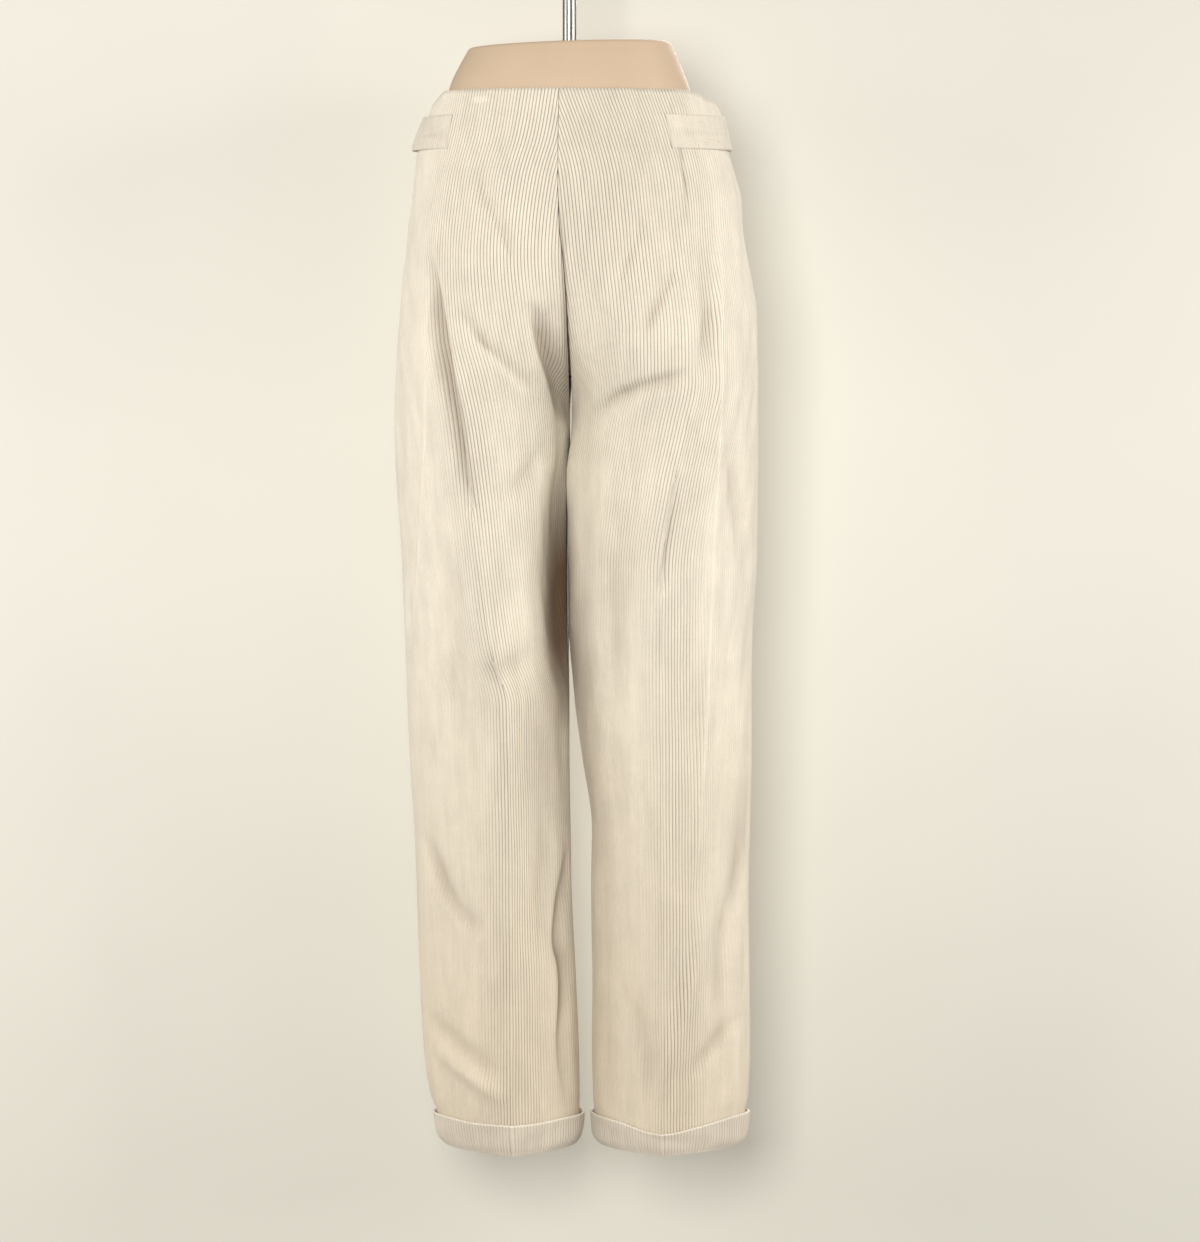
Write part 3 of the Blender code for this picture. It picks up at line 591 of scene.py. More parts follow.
def wale_grid(side, face, rows, sizes):
    """Outer and inner points and pile of a panel, a column for each part of a wale, and each row's ends."""
    points, normals, grain, painted_shading = panel_samples(side, face, rows, sizes)
    step = sizes.wale_pitch / PER_WALE
    low = int(math.floor(grain[:, 0].min() / step))
    high = int(math.ceil(grain[:, -1].max() / step))
    low -= low % PER_WALE
    high += -high % PER_WALE
    columns = np.arange(low, high + 1)

    first = np.ceil((grain[:, 0] + 0.3 * step) / step).astype(int) - 1 - low
    last = np.floor((grain[:, -1] - 0.3 * step) / step).astype(int) + 1 - low
    outer = np.zeros((len(rows), len(columns), 3))
    inner = np.zeros((len(rows), len(columns), 3))
    pile = np.zeros((len(rows), len(columns), 2))
    for r in range(len(rows)):
        target = np.clip(columns * step, grain[r, 0], grain[r, -1])
        target[:first[r] + 1] = grain[r, 0]
        target[last[r]:] = grain[r, -1]
        place = read_off(target, grain[r], points[r])
        normal = unit(read_off(target, grain[r], normals[r]))
        show = wale_show(side, target, place[:, 2])
        rib = wale_height(target, sizes.wale_pitch)
        pile[r, :, 0] = 1.0 - (1.0 - rib) * show
        # the painted shade and painted highlights, carried to each column
        pile[r, :, 1] = np.interp(target, grain[r], painted_shading[r])
        sunk = (rib - 1.0) * sizes.wale_height * (0.45 + 0.55 * show)
        outer[r] = place + normal * sunk[:, None]
        inner[r] = place - normal * sizes.cloth_thickness
    keep_sides(outer, inner, side, face)
    interlock(outer)
    interlock(inner)
    return outer, inner, pile, first, last


def corduroy_panel(side, face, sizes, materials):
    """One panel: ribbed outside, plain inside, closed all round. Columns follow the wales."""
    outer, inner, pile, first, last = wale_grid(
        side, face, row_heights(sizes.rows_above, sizes.rows_below), sizes)
    rows, count = outer.shape[:2]
    index = np.arange(count)[None, :]
    outer_id = np.arange(rows)[:, None] * count + np.clip(index, first[:, None], last[:, None])
    coarse = np.arange(0, count, PER_WALE)
    inner_id = rows * count + outer_id[:, coarse]
    faces = []
    slots = []

    def add(corners, slot):
        ring_of = [c for i, c in enumerate(corners) if c != corners[i - 1]]
        if len(set(ring_of)) > 2:
            faces.append(tuple(ring_of) if side * face > 0 else tuple(ring_of[::-1]))
            slots.append(slot)

    for r in range(rows - 1):
        a, b = outer_id[r].tolist(), outer_id[r + 1].tolist()
        for c in range(count - 1):
            add((a[c], a[c + 1], b[c + 1], b[c]), 0)
        a, b = inner_id[r].tolist(), inner_id[r + 1].tolist()
        for c in range(len(coarse) - 1):
            add((a[c], b[c], b[c + 1], a[c + 1]), 1)
        for column, flip in ((0, False), (-1, True)):
            edge = (outer_id[r, column], outer_id[r + 1, column],
                    inner_id[r + 1, column], inner_id[r, column])
            add(tuple(int(i) for i in (edge[::-1] if flip else edge)), 1)
    for r, flip in ((0, True), (rows - 1, False)):
        for k in range(len(coarse) - 1):
            strip = outer_id[r, coarse[k]:coarse[k + 1] + 1].tolist()
            edge = (*strip, int(inner_id[r, k + 1]), int(inner_id[r, k]))
            add(edge if not flip else edge[::-1], 1)
    everything = np.concatenate([outer.reshape(-1, 3), inner.reshape(-1, 3)])
    values = np.concatenate([pile.reshape(-1, 2), np.tile((0.5, 0.0), (rows * count, 1))])
    everything, faces, values = compact(everything, faces, values)
    name = "corduroy_" + FACE_NAME[face] + "_" + SIDE_NAME[side]
    return new_object(name, everything, faces, materials, values, slots)


def keep_sides(outer, inner, side, face):
    """Keeps every point on its own side of the seams' middle."""
    for grid in (outer, inner):
        grid[..., 1] = face * np.maximum(face * grid[..., 1], SEAM_GAP / 2)
        seam = inner_x(side, face, grid[..., 2]) + side * SEAM_GAP / 2
        grid[..., 0] = side * np.maximum(side * grid[..., 0], side * seam)


def grid_faces(rows, columns, closed_round=False):
    """Quads of a grid of points."""
    spans = columns if closed_round else columns - 1
    return [
        (r * columns + c, r * columns + (c + 1) % columns,
         (r + 1) * columns + (c + 1) % columns, (r + 1) * columns + c)
        for r in range(rows - 1) for c in range(spans)
    ]


def face_out(item):
    """Turns a closed mesh's faces outward."""
    work = bmesh.new()
    work.from_mesh(item.data)
    bmesh.ops.recalc_face_normals(work, faces=work.faces)
    if work.calc_volume(signed=True) < 0:
        bmesh.ops.reverse_faces(work, faces=work.faces)
    work.to_mesh(item.data)
    work.free()


def leg_loop(side, z):
    """Closed loop round a leg at one height: points, level normals and distance from the back crease."""
    loops = []
    for face in (BACK, FRONT):
        share = np.linspace(0, 1, LOOP_SHARES)
        turn = share_turn(side, face, share, np.full_like(share, z))
        line = base_point(side, face, turn, np.full_like(share, z))
        loops.append(line if face == BACK else line[::-1])
    joined = np.concatenate([loops[0][:-1], loops[1][:-1]])
    joined[0, 1] = 0.0
    joined[LOOP_SHARES - 1, 1] = 0.0
    along = np.roll(joined, -1, axis=0) - np.roll(joined, 1, axis=0)
    normal = unit(np.stack([along[:, 1], -along[:, 0], 0 * along[:, 0]], axis=-1))
    if np.sum(normal * (joined - joined.mean(axis=0))) < 0:
        normal = -normal
    distance = travelled(np.concatenate([joined, joined[:1]]))
    return joined, normal, distance - distance[LOOP_SHARES // 2]


def wale_columns(length, pitch):
    """Whole wales round a closed band: one share of its length for each column."""
    count = max(4, round(length / pitch)) * PER_WALE
    return np.arange(count) / count


def cuff_profile(sizes):
    """Closed section of a turn-up, up its face and down inside: (share of its height, way out, rib)."""
    half = sizes.cuff_thickness / 2
    height = CUFF_TOP - CUFF_BOTTOM
    middle = CUFF_GAP + half
    section = []
    for k in range(1, 25):
        section.append((half / height + (1 - 2 * half / height) * k / 25, middle + half, 1.0))
    for k in range(9):
        a = math.pi * k / 8
        level = 1 - (half - half * math.sin(a)) / height
        section.append((level, middle + half * math.cos(a), max(0.0, math.cos(a))))
    for k in range(1, 5):
        section.append((1 - half / height - (1 - 2.2 * half / height) * k / 5, CUFF_GAP, 0.0))
    under = (HEM - CUFF_BOTTOM - 0.0004) / height
    section += [(under, CUFF_GAP, 0.0), (under, -sizes.cloth_thickness * 0.8, 0.0),
                (under * 0.5, -0.0022, 0.0)]
    for k in range(8):
        a = math.pi / 2 * k / 8
        out = middle + half * math.sin(a) - 0.0004 * (1 - k / 8)
        section.append((half / height * (1 - math.cos(a)), out, k / 8))
    return section


def turn_up(side, sizes, materials):
    """Ribbed turn-up round a leg's end: folded at the bottom, a little open and uneven at its top edge."""
    section = cuff_profile(sizes)
    dip = sizes.cuff_dip_right if side == RIGHT else sizes.cuff_dip_left
    distance = leg_loop(side, (CUFF_TOP + CUFF_BOTTOM) / 2)[2]
    share = wale_columns(distance[-1] - distance[0], sizes.wale_pitch)
    shift = int(round(-distance[0] / (distance[-1] - distance[0]) * len(share)))
    levels = np.linspace(0, 1, 12)
    stack = []
    for level in levels:
        loop, normal, distance = leg_loop(side, CUFF_BOTTOM + (CUFF_TOP - CUFF_BOTTOM) * level)
        distance = distance - distance[0]
        both = np.concatenate([loop, normal], axis=1)
        stack.append(read_off(share * distance[-1], distance, np.concatenate([both, both[:1]])))
    stack = np.array(stack)
    around = (np.arange(len(share)) - shift) * sizes.wale_pitch / PER_WALE
    length = len(share) * sizes.wale_pitch / PER_WALE
    around = (around + length / 2) % length - length / 2
    wave = np.sin(around * 47 + 1.1 * side) + 0.6 * np.sin(around * 101 + 2.3 * side)
    top = dip * np.exp(-(around / 0.050) ** 2) + 0.0006 * wave
    loose = CUFF_LOOSE * (1.0 + 0.45 * wave)
    rib = wale_height(around, sizes.wale_pitch)
    points = []
    pile = []
    for height, out, ribbed in section:
        level = height * (1.0 - top / (CUFF_TOP - CUFF_BOTTOM) * smoothstep(height))
        place = np.array([read_off(level[c], levels, stack[:, c]) for c in range(len(share))])
        base, normal = place[:, :3], unit(place[:, 3:])
        lift = out + loose * height ** 1.5 + (rib - 1.0) * sizes.wale_height * ribbed
        wave = 0.0005 * np.sin(around * 83 + height * 5 + side)
        lift += wave * min(1.0, ribbed) * math.sin(math.pi * height)
        lift -= 0.0016 * ribbed * max(0.0, 1 - height / 0.28) ** 2
        points.append(base + normal * lift[:, None])
        # painted highlight along the turn-up's top fold, partly worn pile: the pile value rises above 1 there
        wear_and_highlight = 0.85 * max(0.0, (height - 0.92) / 0.08)
        if ribbed > 0.05:
            pile.append(1.0 - (1.0 - rib) * 0.75 * min(1.0, ribbed * 2) + wear_and_highlight)
        else:
            pile.append(np.full(rib.shape, 0.6))
    count = len(share)
    rows = len(section)
    faces = grid_faces(rows, count, closed_round=True)
    last = (rows - 1) * count
    faces += [(last + c, last + (c + 1) % count, (c + 1) % count, c) for c in range(count)]
    pile = np.concatenate(pile)
    values = np.stack([pile, np.zeros(len(pile)), np.ones(len(pile))], axis=-1)
    item = new_object("turn_up_" + SIDE_NAME[side], np.concatenate(points), faces, materials, values)
    face_out(item)
    return item


def lay_on(side, places, z_rows, outs):
    """Grid of points over the cloth and its outward normals: places holds (face, share) for each column."""
    points = []
    normals = []
    for z, row_outs in zip(z_rows, outs):
        level = np.array([z])
        centre = np.array([ring(side, FRONT, level)[0][0], 0.0, z])
        row = []
        row_normals = []
        for (face, share), out in zip(places, row_outs):
            turn = min(share_turn(side, face, np.array([share]), level)[0], math.pi - 0.001)
            before, here, after = (
                base_point(side, face, np.array([turn + step]), level)[0]
                for step in (-TURN_STEP, 0.0, TURN_STEP)
            )
            along = after - before
            normal = unit(np.array([along[1], -along[0], 0.0]))
            if np.dot(normal, here - centre) < 0:
                normal = -normal
            row.append(here + normal * out)
            row_normals.append(normal)
        points.append(row)
        normals.append(row_normals)
    return np.array(points), np.array(normals)


def ribbed_patch(name, grid, normals, sizes, thickness, materials, thin_end=1.0, roll=0.0009):
    """Ribbed patch over a grid whose rows cross the wales: rolled edges, plain back, closed all round."""
    steps = np.linalg.norm(np.diff(grid, axis=1), axis=-1)
    along = np.concatenate([np.zeros((len(grid), 1)), np.cumsum(steps, axis=1)], axis=1)
    width = along[:, -1].max()
    count = max(8, int(round(width / sizes.wale_pitch * PER_WALE)))
    share = np.arange(count + 1) / count
    outer = []
    inner = []
    pile = []
    drop = travelled(grid[:, 0])
    for r in range(len(grid)):
        target = share * along[r, -1]
        place = read_off(target, along[r], grid[r])
        normal = unit(read_off(target, along[r], normals[r]))
        rib = wale_height(target, sizes.wale_pitch)
        thick = thickness * (thin_end + (1 - thin_end) * smoothstep(share / 0.5))
        edge = np.minimum(target, along[r, -1] - target)
        edge = np.minimum(edge, min(drop[r], drop[-1] - drop[r]))
        low = roll * thick / thickness * (1 - smoothstep(edge / 0.0016))
        out = thick - low + 0.7 * (rib - 1) * sizes.wale_height * smoothstep(edge / 0.001)
        outer.append(place + normal * out[:, None])
        inner.append(place)
        pile.append(rib)
    rows = len(grid)
    columns = count + 1
    outer = np.concatenate(outer)
    inner = np.concatenate(inner)
    faces = grid_faces(rows, columns)
    shift = rows * columns
    faces += [tuple(shift + i for i in face[::-1]) for face in faces]
    rim = list(range(columns)) + [r * columns + columns - 1 for r in range(1, rows)]
    rim += [(rows - 1) * columns + c for c in range(columns - 2, -1, -1)]
    rim += [r * columns for r in range(rows - 2, 0, -1)]
    for a, b in zip(rim, rim[1:] + rim[:1]):
        faces.append((b, a, shift + a, shift + b))
    values = np.concatenate([np.concatenate(pile), np.full(shift, 0.5)])
    # the whole tab gets 0.10 of the painted shade tint, which darkens it to the panels' tone
    values = np.stack([values, np.full(len(values), 0.10)], axis=-1)
    item = new_object(name, np.concatenate([outer, inner]), faces, materials, values)
    face_out(item)
    return item


def tab_ends(side, back_end, front_end):
    """Shares of the panel at which a tab ends on the back and on the front."""
    middle = np.array([(TAB_TOP + TAB_BOTTOM) / 2])
    ends = []
    for face, end in ((BACK, back_end), (FRONT, front_end)):
        crease = share_turn(side, face, np.array([0.5]), middle)[0]
        ends.append(0.5 + 0.5 * (turn_at(side, face, middle, end)[0] - crease) / (math.pi - crease))
    return ends


def tab_places(side, back_end, front_end):
    """Places (face, share) along a tab, from its back end round the side seam to its button."""
    start, finish = tab_ends(side, back_end, front_end)
    places = [(BACK, start + (1 - start) * k / TAB_STEPS) for k in range(TAB_STEPS + 1)]
    return places + [(FRONT, 1 + (finish - 1) * k / TAB_STEPS) for k in range(1, TAB_STEPS + 1)]


def tab_rest(face, share, start):
    """Gap between a tab and the cloth: none to see where the tab is caught in at its back end."""
    return REST_GAP * (0.2 + 0.8 * min(1.0, (share - start) / 0.15)) if face == BACK else REST_GAP


def side_tab(node, side, back_end, front_end, stand_off, sizes, materials):
    """Tab from the back crease round the side seam to its button, standing a little off the cloth."""
    around = tab_places(side, back_end, front_end)
    start = around[0][1]
    half = (TAB_TOP - TAB_BOTTOM) / 2
    heights = np.linspace(TAB_TOP, TAB_BOTTOM, TAB_ROWS)
    outs = []
    for k in range(TAB_ROWS):
        loose = stand_off * (0.45 + 0.55 * k / (TAB_ROWS - 1))
        outs.append([tab_rest(face, share, start) + loose * math.exp(-((1.0 - share) / 0.17) ** 2)
                     for face, share in around])
    grid, normals = lay_on(side, around, heights, outs)
    point, front_length = 0.010, 0.075
    lengths = np.linspace(0, 1, grid.shape[1])
    for r, z in enumerate(heights):
        away = abs(z - (TAB_TOP + TAB_BOTTOM) / 2) / half
        target = lengths * (1 - point / front_length * away ** 2.2)
        grid[r] = read_off(target, lengths, grid[r])
        normals[r] = read_off(target, lengths, normals[r])
    return ribbed_patch("ribbed_" + node, grid, normals, sizes, sizes.tab_thickness, materials, thin_end=0.10)


def fly_edge(z):
    """Share of the panel that the fly covers at a height, rounding into the seam at its end."""
    return 0.5 * FLY_SHARE * math.sqrt(max(0.0, 1 - ((FLY_TOP - z) / FLY_LENGTH) ** 6))


def fly_cover(sizes, materials):
    """Fly cover on the wearer's right front, rounded into the seam at its lower end."""
    heights = FLY_TOP - FLY_LENGTH * 0.996 * np.linspace(0, 1, 64) ** 0.92
    first, columns = 0.004, 18
    grid = []
    normals = []
    for z in heights:
        edge = max(fly_edge(z), 0.012)
        places = [(FRONT, first + (edge - first) * k / (columns - 1)) for k in range(columns)]
        row, row_normals = lay_on(RIGHT, places, [z], [[FLY_GAP] * len(places)])
        grid.append(row[0])
        normals.append(row_normals[0])
    return ribbed_patch("ribbed_fly_cover", np.array(grid), np.array(normals), sizes,
                        sizes.fly_thickness, materials)


def turned_points(profile, count):
    """Points of a profile of (radius, height) turned round the upright axis."""
    angle = 2 * math.pi * np.arange(count) / count
    return np.concatenate([np.stack([r * np.cos(angle), r * np.sin(angle), np.full(count, z)], axis=-1)
                           for r, z in profile])


# ---- buttons and stitches ----
def place_frame(side, face, x, z):
    """Point on the cloth with its outward normal, right and up directions."""
    zz = np.array([z])
    turn = turn_at(side, face, zz, x)
    here = base_point(side, face, turn, zz)[0]
    across = base_point(side, face, turn + TURN_STEP, zz)[0] - base_point(side, face, turn - TURN_STEP, zz)[0]
    below = base_point(side, face, turn_at(side, face, zz - 0.004, x), zz - 0.004)[0]
    normal = unit(np.cross(across, here - below))
    if normal[1] * face < 0:
        normal = -normal
    right = unit(across)
    return here, normal, right, np.cross(normal, right)


def button_disc(name, spot, radius, thick, out, material):
    """Turned button: raised rim, dished middle and four holes."""
    here, normal, right, up = spot
    mesh = bpy.data.meshes.new(name)
    work = bmesh.new()
    hole = radius * 0.115
    apart = radius * HOLE_APART
    profile = ((0.70, 0.0), (0.90, 0.05), (0.975, 0.24), (1.0, 0.52), (0.975, 0.80), (0.90, 0.97),
               (0.82, 1.0), (0.745, 0.93), (0.68, 0.72), (0.60, 0.62))
    count = 64
    rings = [[work.verts.new((radius * r * math.cos(2 * math.pi * k / count),
                              radius * r * math.sin(2 * math.pi * k / count), thick * h))
              for k in range(count)] for r, h in profile]
    for low, high in zip(rings[:-1], rings[1:]):
        for k in range(count):
            work.faces.new((low[k], low[(k + 1) % count], high[(k + 1) % count], high[k]))
    around = 20
    hole_profile = ((1.25, BUTTON_DISH), (1.0, 0.54), (1.0, 0.0))
    holes = []
    for cx, cy in ((apart, apart), (-apart, apart), (-apart, -apart), (apart, -apart)):
        edge = [[work.verts.new((cx + hole * r * math.cos(2 * math.pi * k / around),
                                 cy + hole * r * math.sin(2 * math.pi * k / around), thick * h))
                 for k in range(around)] for r, h in hole_profile]
        for low, high in zip(edge[:-1], edge[1:]):
            for k in range(around):
                work.faces.new((low[(k + 1) % around], low[k], high[k], high[(k + 1) % around]))
        holes.append(edge)
    work.edges.ensure_lookup_table()
    for level, loop in ((1, rings[-1]), (0, rings[0])):
        edges = [work.edges.get((loop[k], loop[(k + 1) % count])) for k in range(count)]
        for edge in holes:
            row = edge[0] if level else edge[-1]
            edges += [work.edges.get((row[k], row[(k + 1) % around])) for k in range(around)]
        bmesh.ops.triangle_fill(work, edges=edges, use_beauty=True, normal=(0, 0, 1 if level else -1))
    bmesh.ops.recalc_face_normals(work, faces=work.faces)
    if work.calc_volume(signed=True) < 0:
        bmesh.ops.reverse_faces(work, faces=work.faces)
    for vert in work.verts:
        x, y, h = vert.co
        vert.co = Vector(here + right * x + up * y + normal * (out + h))
    work.to_mesh(mesh)
    work.free()
    mesh.materials.append(material)
    mesh.shade_smooth()
    mesh.set_sharp_from_angle(angle=math.radians(45))
    item = bpy.data.objects.new(name, mesh)
    bpy.context.collection.objects.link(item)
    return item


def stitch(start, end, normal, thread, arch):
    """One thread stitch as a small bent round bar: its points and faces."""
    steps, round_count = 6, 7
    along = end - start
    length = np.linalg.norm(along)
    along /= length
    side = np.cross(normal, along)
    points = []
    for k in range(steps + 1):
        t = k / steps
        centre = start + along * length * t + normal * arch * math.sin(math.pi * t)
        radius = thread * (0.35 + 0.65 * math.sin(math.pi * min(max(t, 0.08), 0.92)) ** 0.5)
        for j in range(round_count):
            a = 2 * math.pi * j / round_count
            points.append(centre + side * radius * math.cos(a) + normal * radius * math.sin(a))
    faces = grid_faces(steps + 1, round_count)
    faces += [(k * round_count + round_count - 1, k * round_count, (k + 1) * round_count,
               (k + 1) * round_count + round_count - 1) for k in range(steps)]
    faces.append(tuple(range(round_count))[::-1])
    faces.append(tuple(steps * round_count + j for j in range(round_count)))
    return points, faces


def thread_object(name, stitches, thread, arch, material):
    """All the stitches of one seam as one joined mesh."""
    points = []
    faces = []
    for start, end, normal in stitches:
        more, more_faces = stitch(start, end, normal, thread, arch)
        faces += [tuple(len(points) + i for i in face) for face in more_faces]
        points += more
    item = new_object(name, np.array(points), faces, [material])
    face_out(item)
    return item


def stitch_line(points, normals, length, gap):
    """Stitches along a line of points: (start, end, normal) for each."""
    along = travelled(points)
    found = []
    place = gap
    while place + length < along[-1]:
        normal = unit(read_off(place + length / 2, along, normals))
        found.append((read_off(place, along, points), read_off(place + length, along, points), normal))
        place += length + gap
    return found


# ======================================================================================
# Materials
# ======================================================================================
class Nodes:
    """Short way to build one material's node tree."""

    def __init__(self, name, color, roughness, metallic=0.0, sheen=0.0, sheen_tint=(1, 1, 1), coat=0.0):
        self.material = bpy.data.materials.new(name)
        self.material.use_nodes = True
        self.tree = self.material.node_tree
        self.shader = self.tree.nodes["Principled BSDF"]
        self.shader.inputs["Base Color"].default_value = (*color, 1.0)
        self.shader.inputs["Roughness"].default_value = roughness
        self.shader.inputs["Metallic"].default_value = metallic
        self.shader.inputs["Sheen Weight"].default_value = sheen
        self.shader.inputs["Sheen Roughness"].default_value = 0.45
        self.shader.inputs["Sheen Tint"].default_value = (*sheen_tint, 1.0)
        self.shader.inputs["Coat Weight"].default_value = coat
        self.place = self.tree.nodes.new("ShaderNodeTexCoord").outputs["Object"]

    def node(self, kind, **inputs):
        """New node with its inputs set to values or joined to sockets."""
        item = self.tree.nodes.new(kind)
        for name, value in inputs.items():
            numbered = name[0] == "i" and name[1:].isdigit()
            socket = item.inputs[int(name[1:]) if numbered else name]
            if isinstance(value, bpy.types.NodeSocket):
                self.tree.links.new(value, socket)
            else:
                socket.default_value = value
        return item

    def attribute(self, name):
        """Value of a mesh attribute."""
        item = self.tree.nodes.new("ShaderNodeAttribute")
        item.attribute_name = name
        return item.outputs["Fac"]

    def math(self, operation, a, b=0.0):
        """Result of one sum on two values."""
        item = self.node("ShaderNodeMath", i0=a, i1=b)
        item.operation = operation
        return item.outputs[0]

    def noise(self, scale, detail=3.0, roughness=0.55, stretch=(1, 1, 1), shift=(0, 0, 0)):
        """Noise over the object's own metres, from about 0 to 1."""
        mapped = self.node("ShaderNodeMapping", Vector=self.place, Scale=stretch, Location=shift)
        found = self.node("ShaderNodeTexNoise", Vector=mapped.outputs[0], Scale=scale, Detail=detail,
                          Roughness=roughness)
        return found.outputs["Fac"]

    def scaled(self, value, low, high, to_low=0.0, to_high=1.0):
        """Value moved from one range to another, held at its ends."""
        item = self.node("ShaderNodeMapRange", Value=value)
        for name, number in (("From Min", low), ("From Max", high), ("To Min", to_low), ("To Max", to_high)):
            item.inputs[name].default_value = number
        return item.outputs[0]

    def mix(self, factor, a, b, blend="MIX"):
        """Mix of two colours."""
        item = self.tree.nodes.new("ShaderNodeMix")
        item.data_type = "RGBA"
        item.blend_type = blend
        for socket, value in ((item.inputs[0], factor), (item.inputs[6], a), (item.inputs[7], b)):
            if isinstance(value, bpy.types.NodeSocket):
                self.tree.links.new(value, socket)
            elif socket.type == "RGBA":
                socket.default_value = (*value[:3], 1.0)
            else:
                socket.default_value = value
        return item.outputs[2]

    def color(self, socket):
        """Joins a colour to the shader."""
        self.tree.links.new(socket, self.shader.inputs["Base Color"])

    def roughness(self, socket):
        """Joins a roughness to the shader."""
        self.tree.links.new(socket, self.shader.inputs["Roughness"])

    def bump(self, height, depth):
        """Joins a height in metres times depth to the shader's normal."""
        item = self.node("ShaderNodeBump", Height=height, Distance=depth, Strength=1.0)
        self.tree.links.new(item.outputs[0], self.shader.inputs["Normal"])


def shade(color, factor):
    """A colour made lighter or darker."""
    return tuple(min(1.0, max(0.0, channel * factor)) for channel in color)


def ready(name, make):
    """The material of that name, made the first time that it is asked for."""
    return bpy.data.materials.get(name) or make()


def corduroy_material():
    """Pile in rounded wales, with a worn mark and uneven tone; grooves painted darker, partly bare ground
    weave and partly painted shade; painted shade in hollows, low on the legs and on the turn-ups; painted
    highlights on the turn-ups' top folds and along a few lines.
    """
    look = bpy.context.scene.corduroy_look
    color = tuple(look.cloth_color)
    work = Nodes("corduroy_pile", color, 0.93, sheen=look.sheen, sheen_tint=tuple(look.sheen_color))
    top = work.attribute("pile")
    broad = work.noise(7.0, 3.0, 0.55, shift=(3.1, 0.4, 1.7))
    blotch = work.noise(34.0, 4.0, 0.6)
    streak = work.noise(150.0, 3.0, 0.6, stretch=(1.0, 1.0, 0.07))
    fibre = work.noise(1900.0, 2.0, 0.65, stretch=(1.0, 1.0, 0.45))
    tuft = work.noise(650.0, 3.0, 0.6)
    where = work.node("ShaderNodeSeparateXYZ", Vector=work.place)
    # painted shade: the pile darker towards the turn-ups, where less light falls, with broad noise in where
    # it starts
    lower = work.scaled(where.outputs[2], -0.62, -1.06)
    lower = work.math("MULTIPLY", lower, work.scaled(broad, 0.30, 0.55, 0.72, 1.0))
    painted_falloff = work.mix(lower, color, tuple(look.low_color))
    # the grooves darker: partly the bare ground weave, partly painted shade in the grooves
    ground = work.mix(1.0, painted_falloff, shade((1.0, 0.955, 0.88), look.groove_shade), "MULTIPLY")
    body = work.mix(work.scaled(top, 0.0, 0.62), ground, painted_falloff)
    # painted highlight: lighter where the pile value is above 1, on the turn-ups' top folds
    body = work.mix(work.scaled(top, 1.0, 1.35, 0.0, 0.6), body, shade(color, 1.18))
    mark = work.node("ShaderNodeVectorMath", i0=work.place, i1=(-0.083, -0.070, -0.150))
    mark.operation = "SUBTRACT"
    stretched = work.node("ShaderNodeVectorMath", i0=mark.outputs[0], i1=(0.42, 0.2, 1.0))
    stretched.operation = "MULTIPLY"
    away = work.node("ShaderNodeVectorMath", i0=stretched.outputs[0])
    away.operation = "LENGTH"
    spot = work.math("ADD", away.outputs["Value"], work.scaled(tuft, 0.3, 0.7, -0.0012, 0.0012))
    body = work.mix(work.scaled(spot, 0.0042, 0.0026, 0.0, 0.38), body, shade(color, 1.22))
    # painted shade: the pile tinted dark brown where the painted shading is above 0, and a painted highlight,
    # lighter, where it is below 0
    painted_shading = work.attribute("painted_shading")
    body = work.mix(painted_shading, body, work.mix(1.0, body, tuple(look.painted_shade_color), "MULTIPLY"))
    body = work.mix(work.scaled(painted_shading, 0.0, -0.5, 0.0, 0.55), body, shade(color, 1.22))
    # painted shade: the turn-ups a little darker and greyer, as they face down away from the light
    turn_up_shaded = work.mix(1.0, body, tuple(look.turn_up_shade), "MULTIPLY")
    body = work.mix(work.attribute("turned"), body, turn_up_shaded)
    wear_and_highlight = work.mix(work.scaled(broad, 0.42, 0.64), shade(color, 0.955), shade(color, 1.045))
    body = work.mix(0.5, body, work.mix(1.0, body, wear_and_highlight, "MULTIPLY"))
    value = work.math("ADD", work.scaled(streak, 0.3, 0.7, -0.045, 0.045),
                      work.scaled(blotch, 0.32, 0.68, -0.035, 0.035))
    value = work.math("ADD", value, work.scaled(fibre, 0.25, 0.75, -0.05, 0.05))
    value = work.math("ADD", value, work.scaled(tuft, 0.3, 0.7, -0.03, 0.03))
    level = work.node("ShaderNodeHueSaturation", Color=body, Value=work.math("ADD", value, look.brightness))
    work.color(level.outputs[0])
    work.roughness(work.scaled(top, 0.0, 1.0, 0.97, 0.88))
    height = work.math("ADD", work.math("MULTIPLY", fibre, 0.45), work.math("MULTIPLY", tuft, 0.8))
    work.bump(height, 0.00022)
    return work.material


def reverse_material():
    """Plain woven back of the cloth, with a fine twill."""
    look = bpy.context.scene.corduroy_look
    color = tuple(look.reverse_color)
    work = Nodes("corduroy_reverse", color, 0.9, sheen=0.08)
    mapped = work.node("ShaderNodeMapping", Vector=work.place, Rotation=(0.0, 0.5, 0.0))
    wave = work.node("ShaderNodeTexWave", Vector=mapped.outputs[0], Scale=420.0, Distortion=1.2, Detail=2.0)
    twill = wave.outputs["Fac"]
    blotch = work.noise(60.0)
    base = work.mix(twill, shade(color, 0.9), shade(color, 1.05))
    work.color(work.mix(work.scaled(blotch, 0.3, 0.7), base, shade(color, 0.95)))
    work.bump(twill, 0.00012)
    return work.material


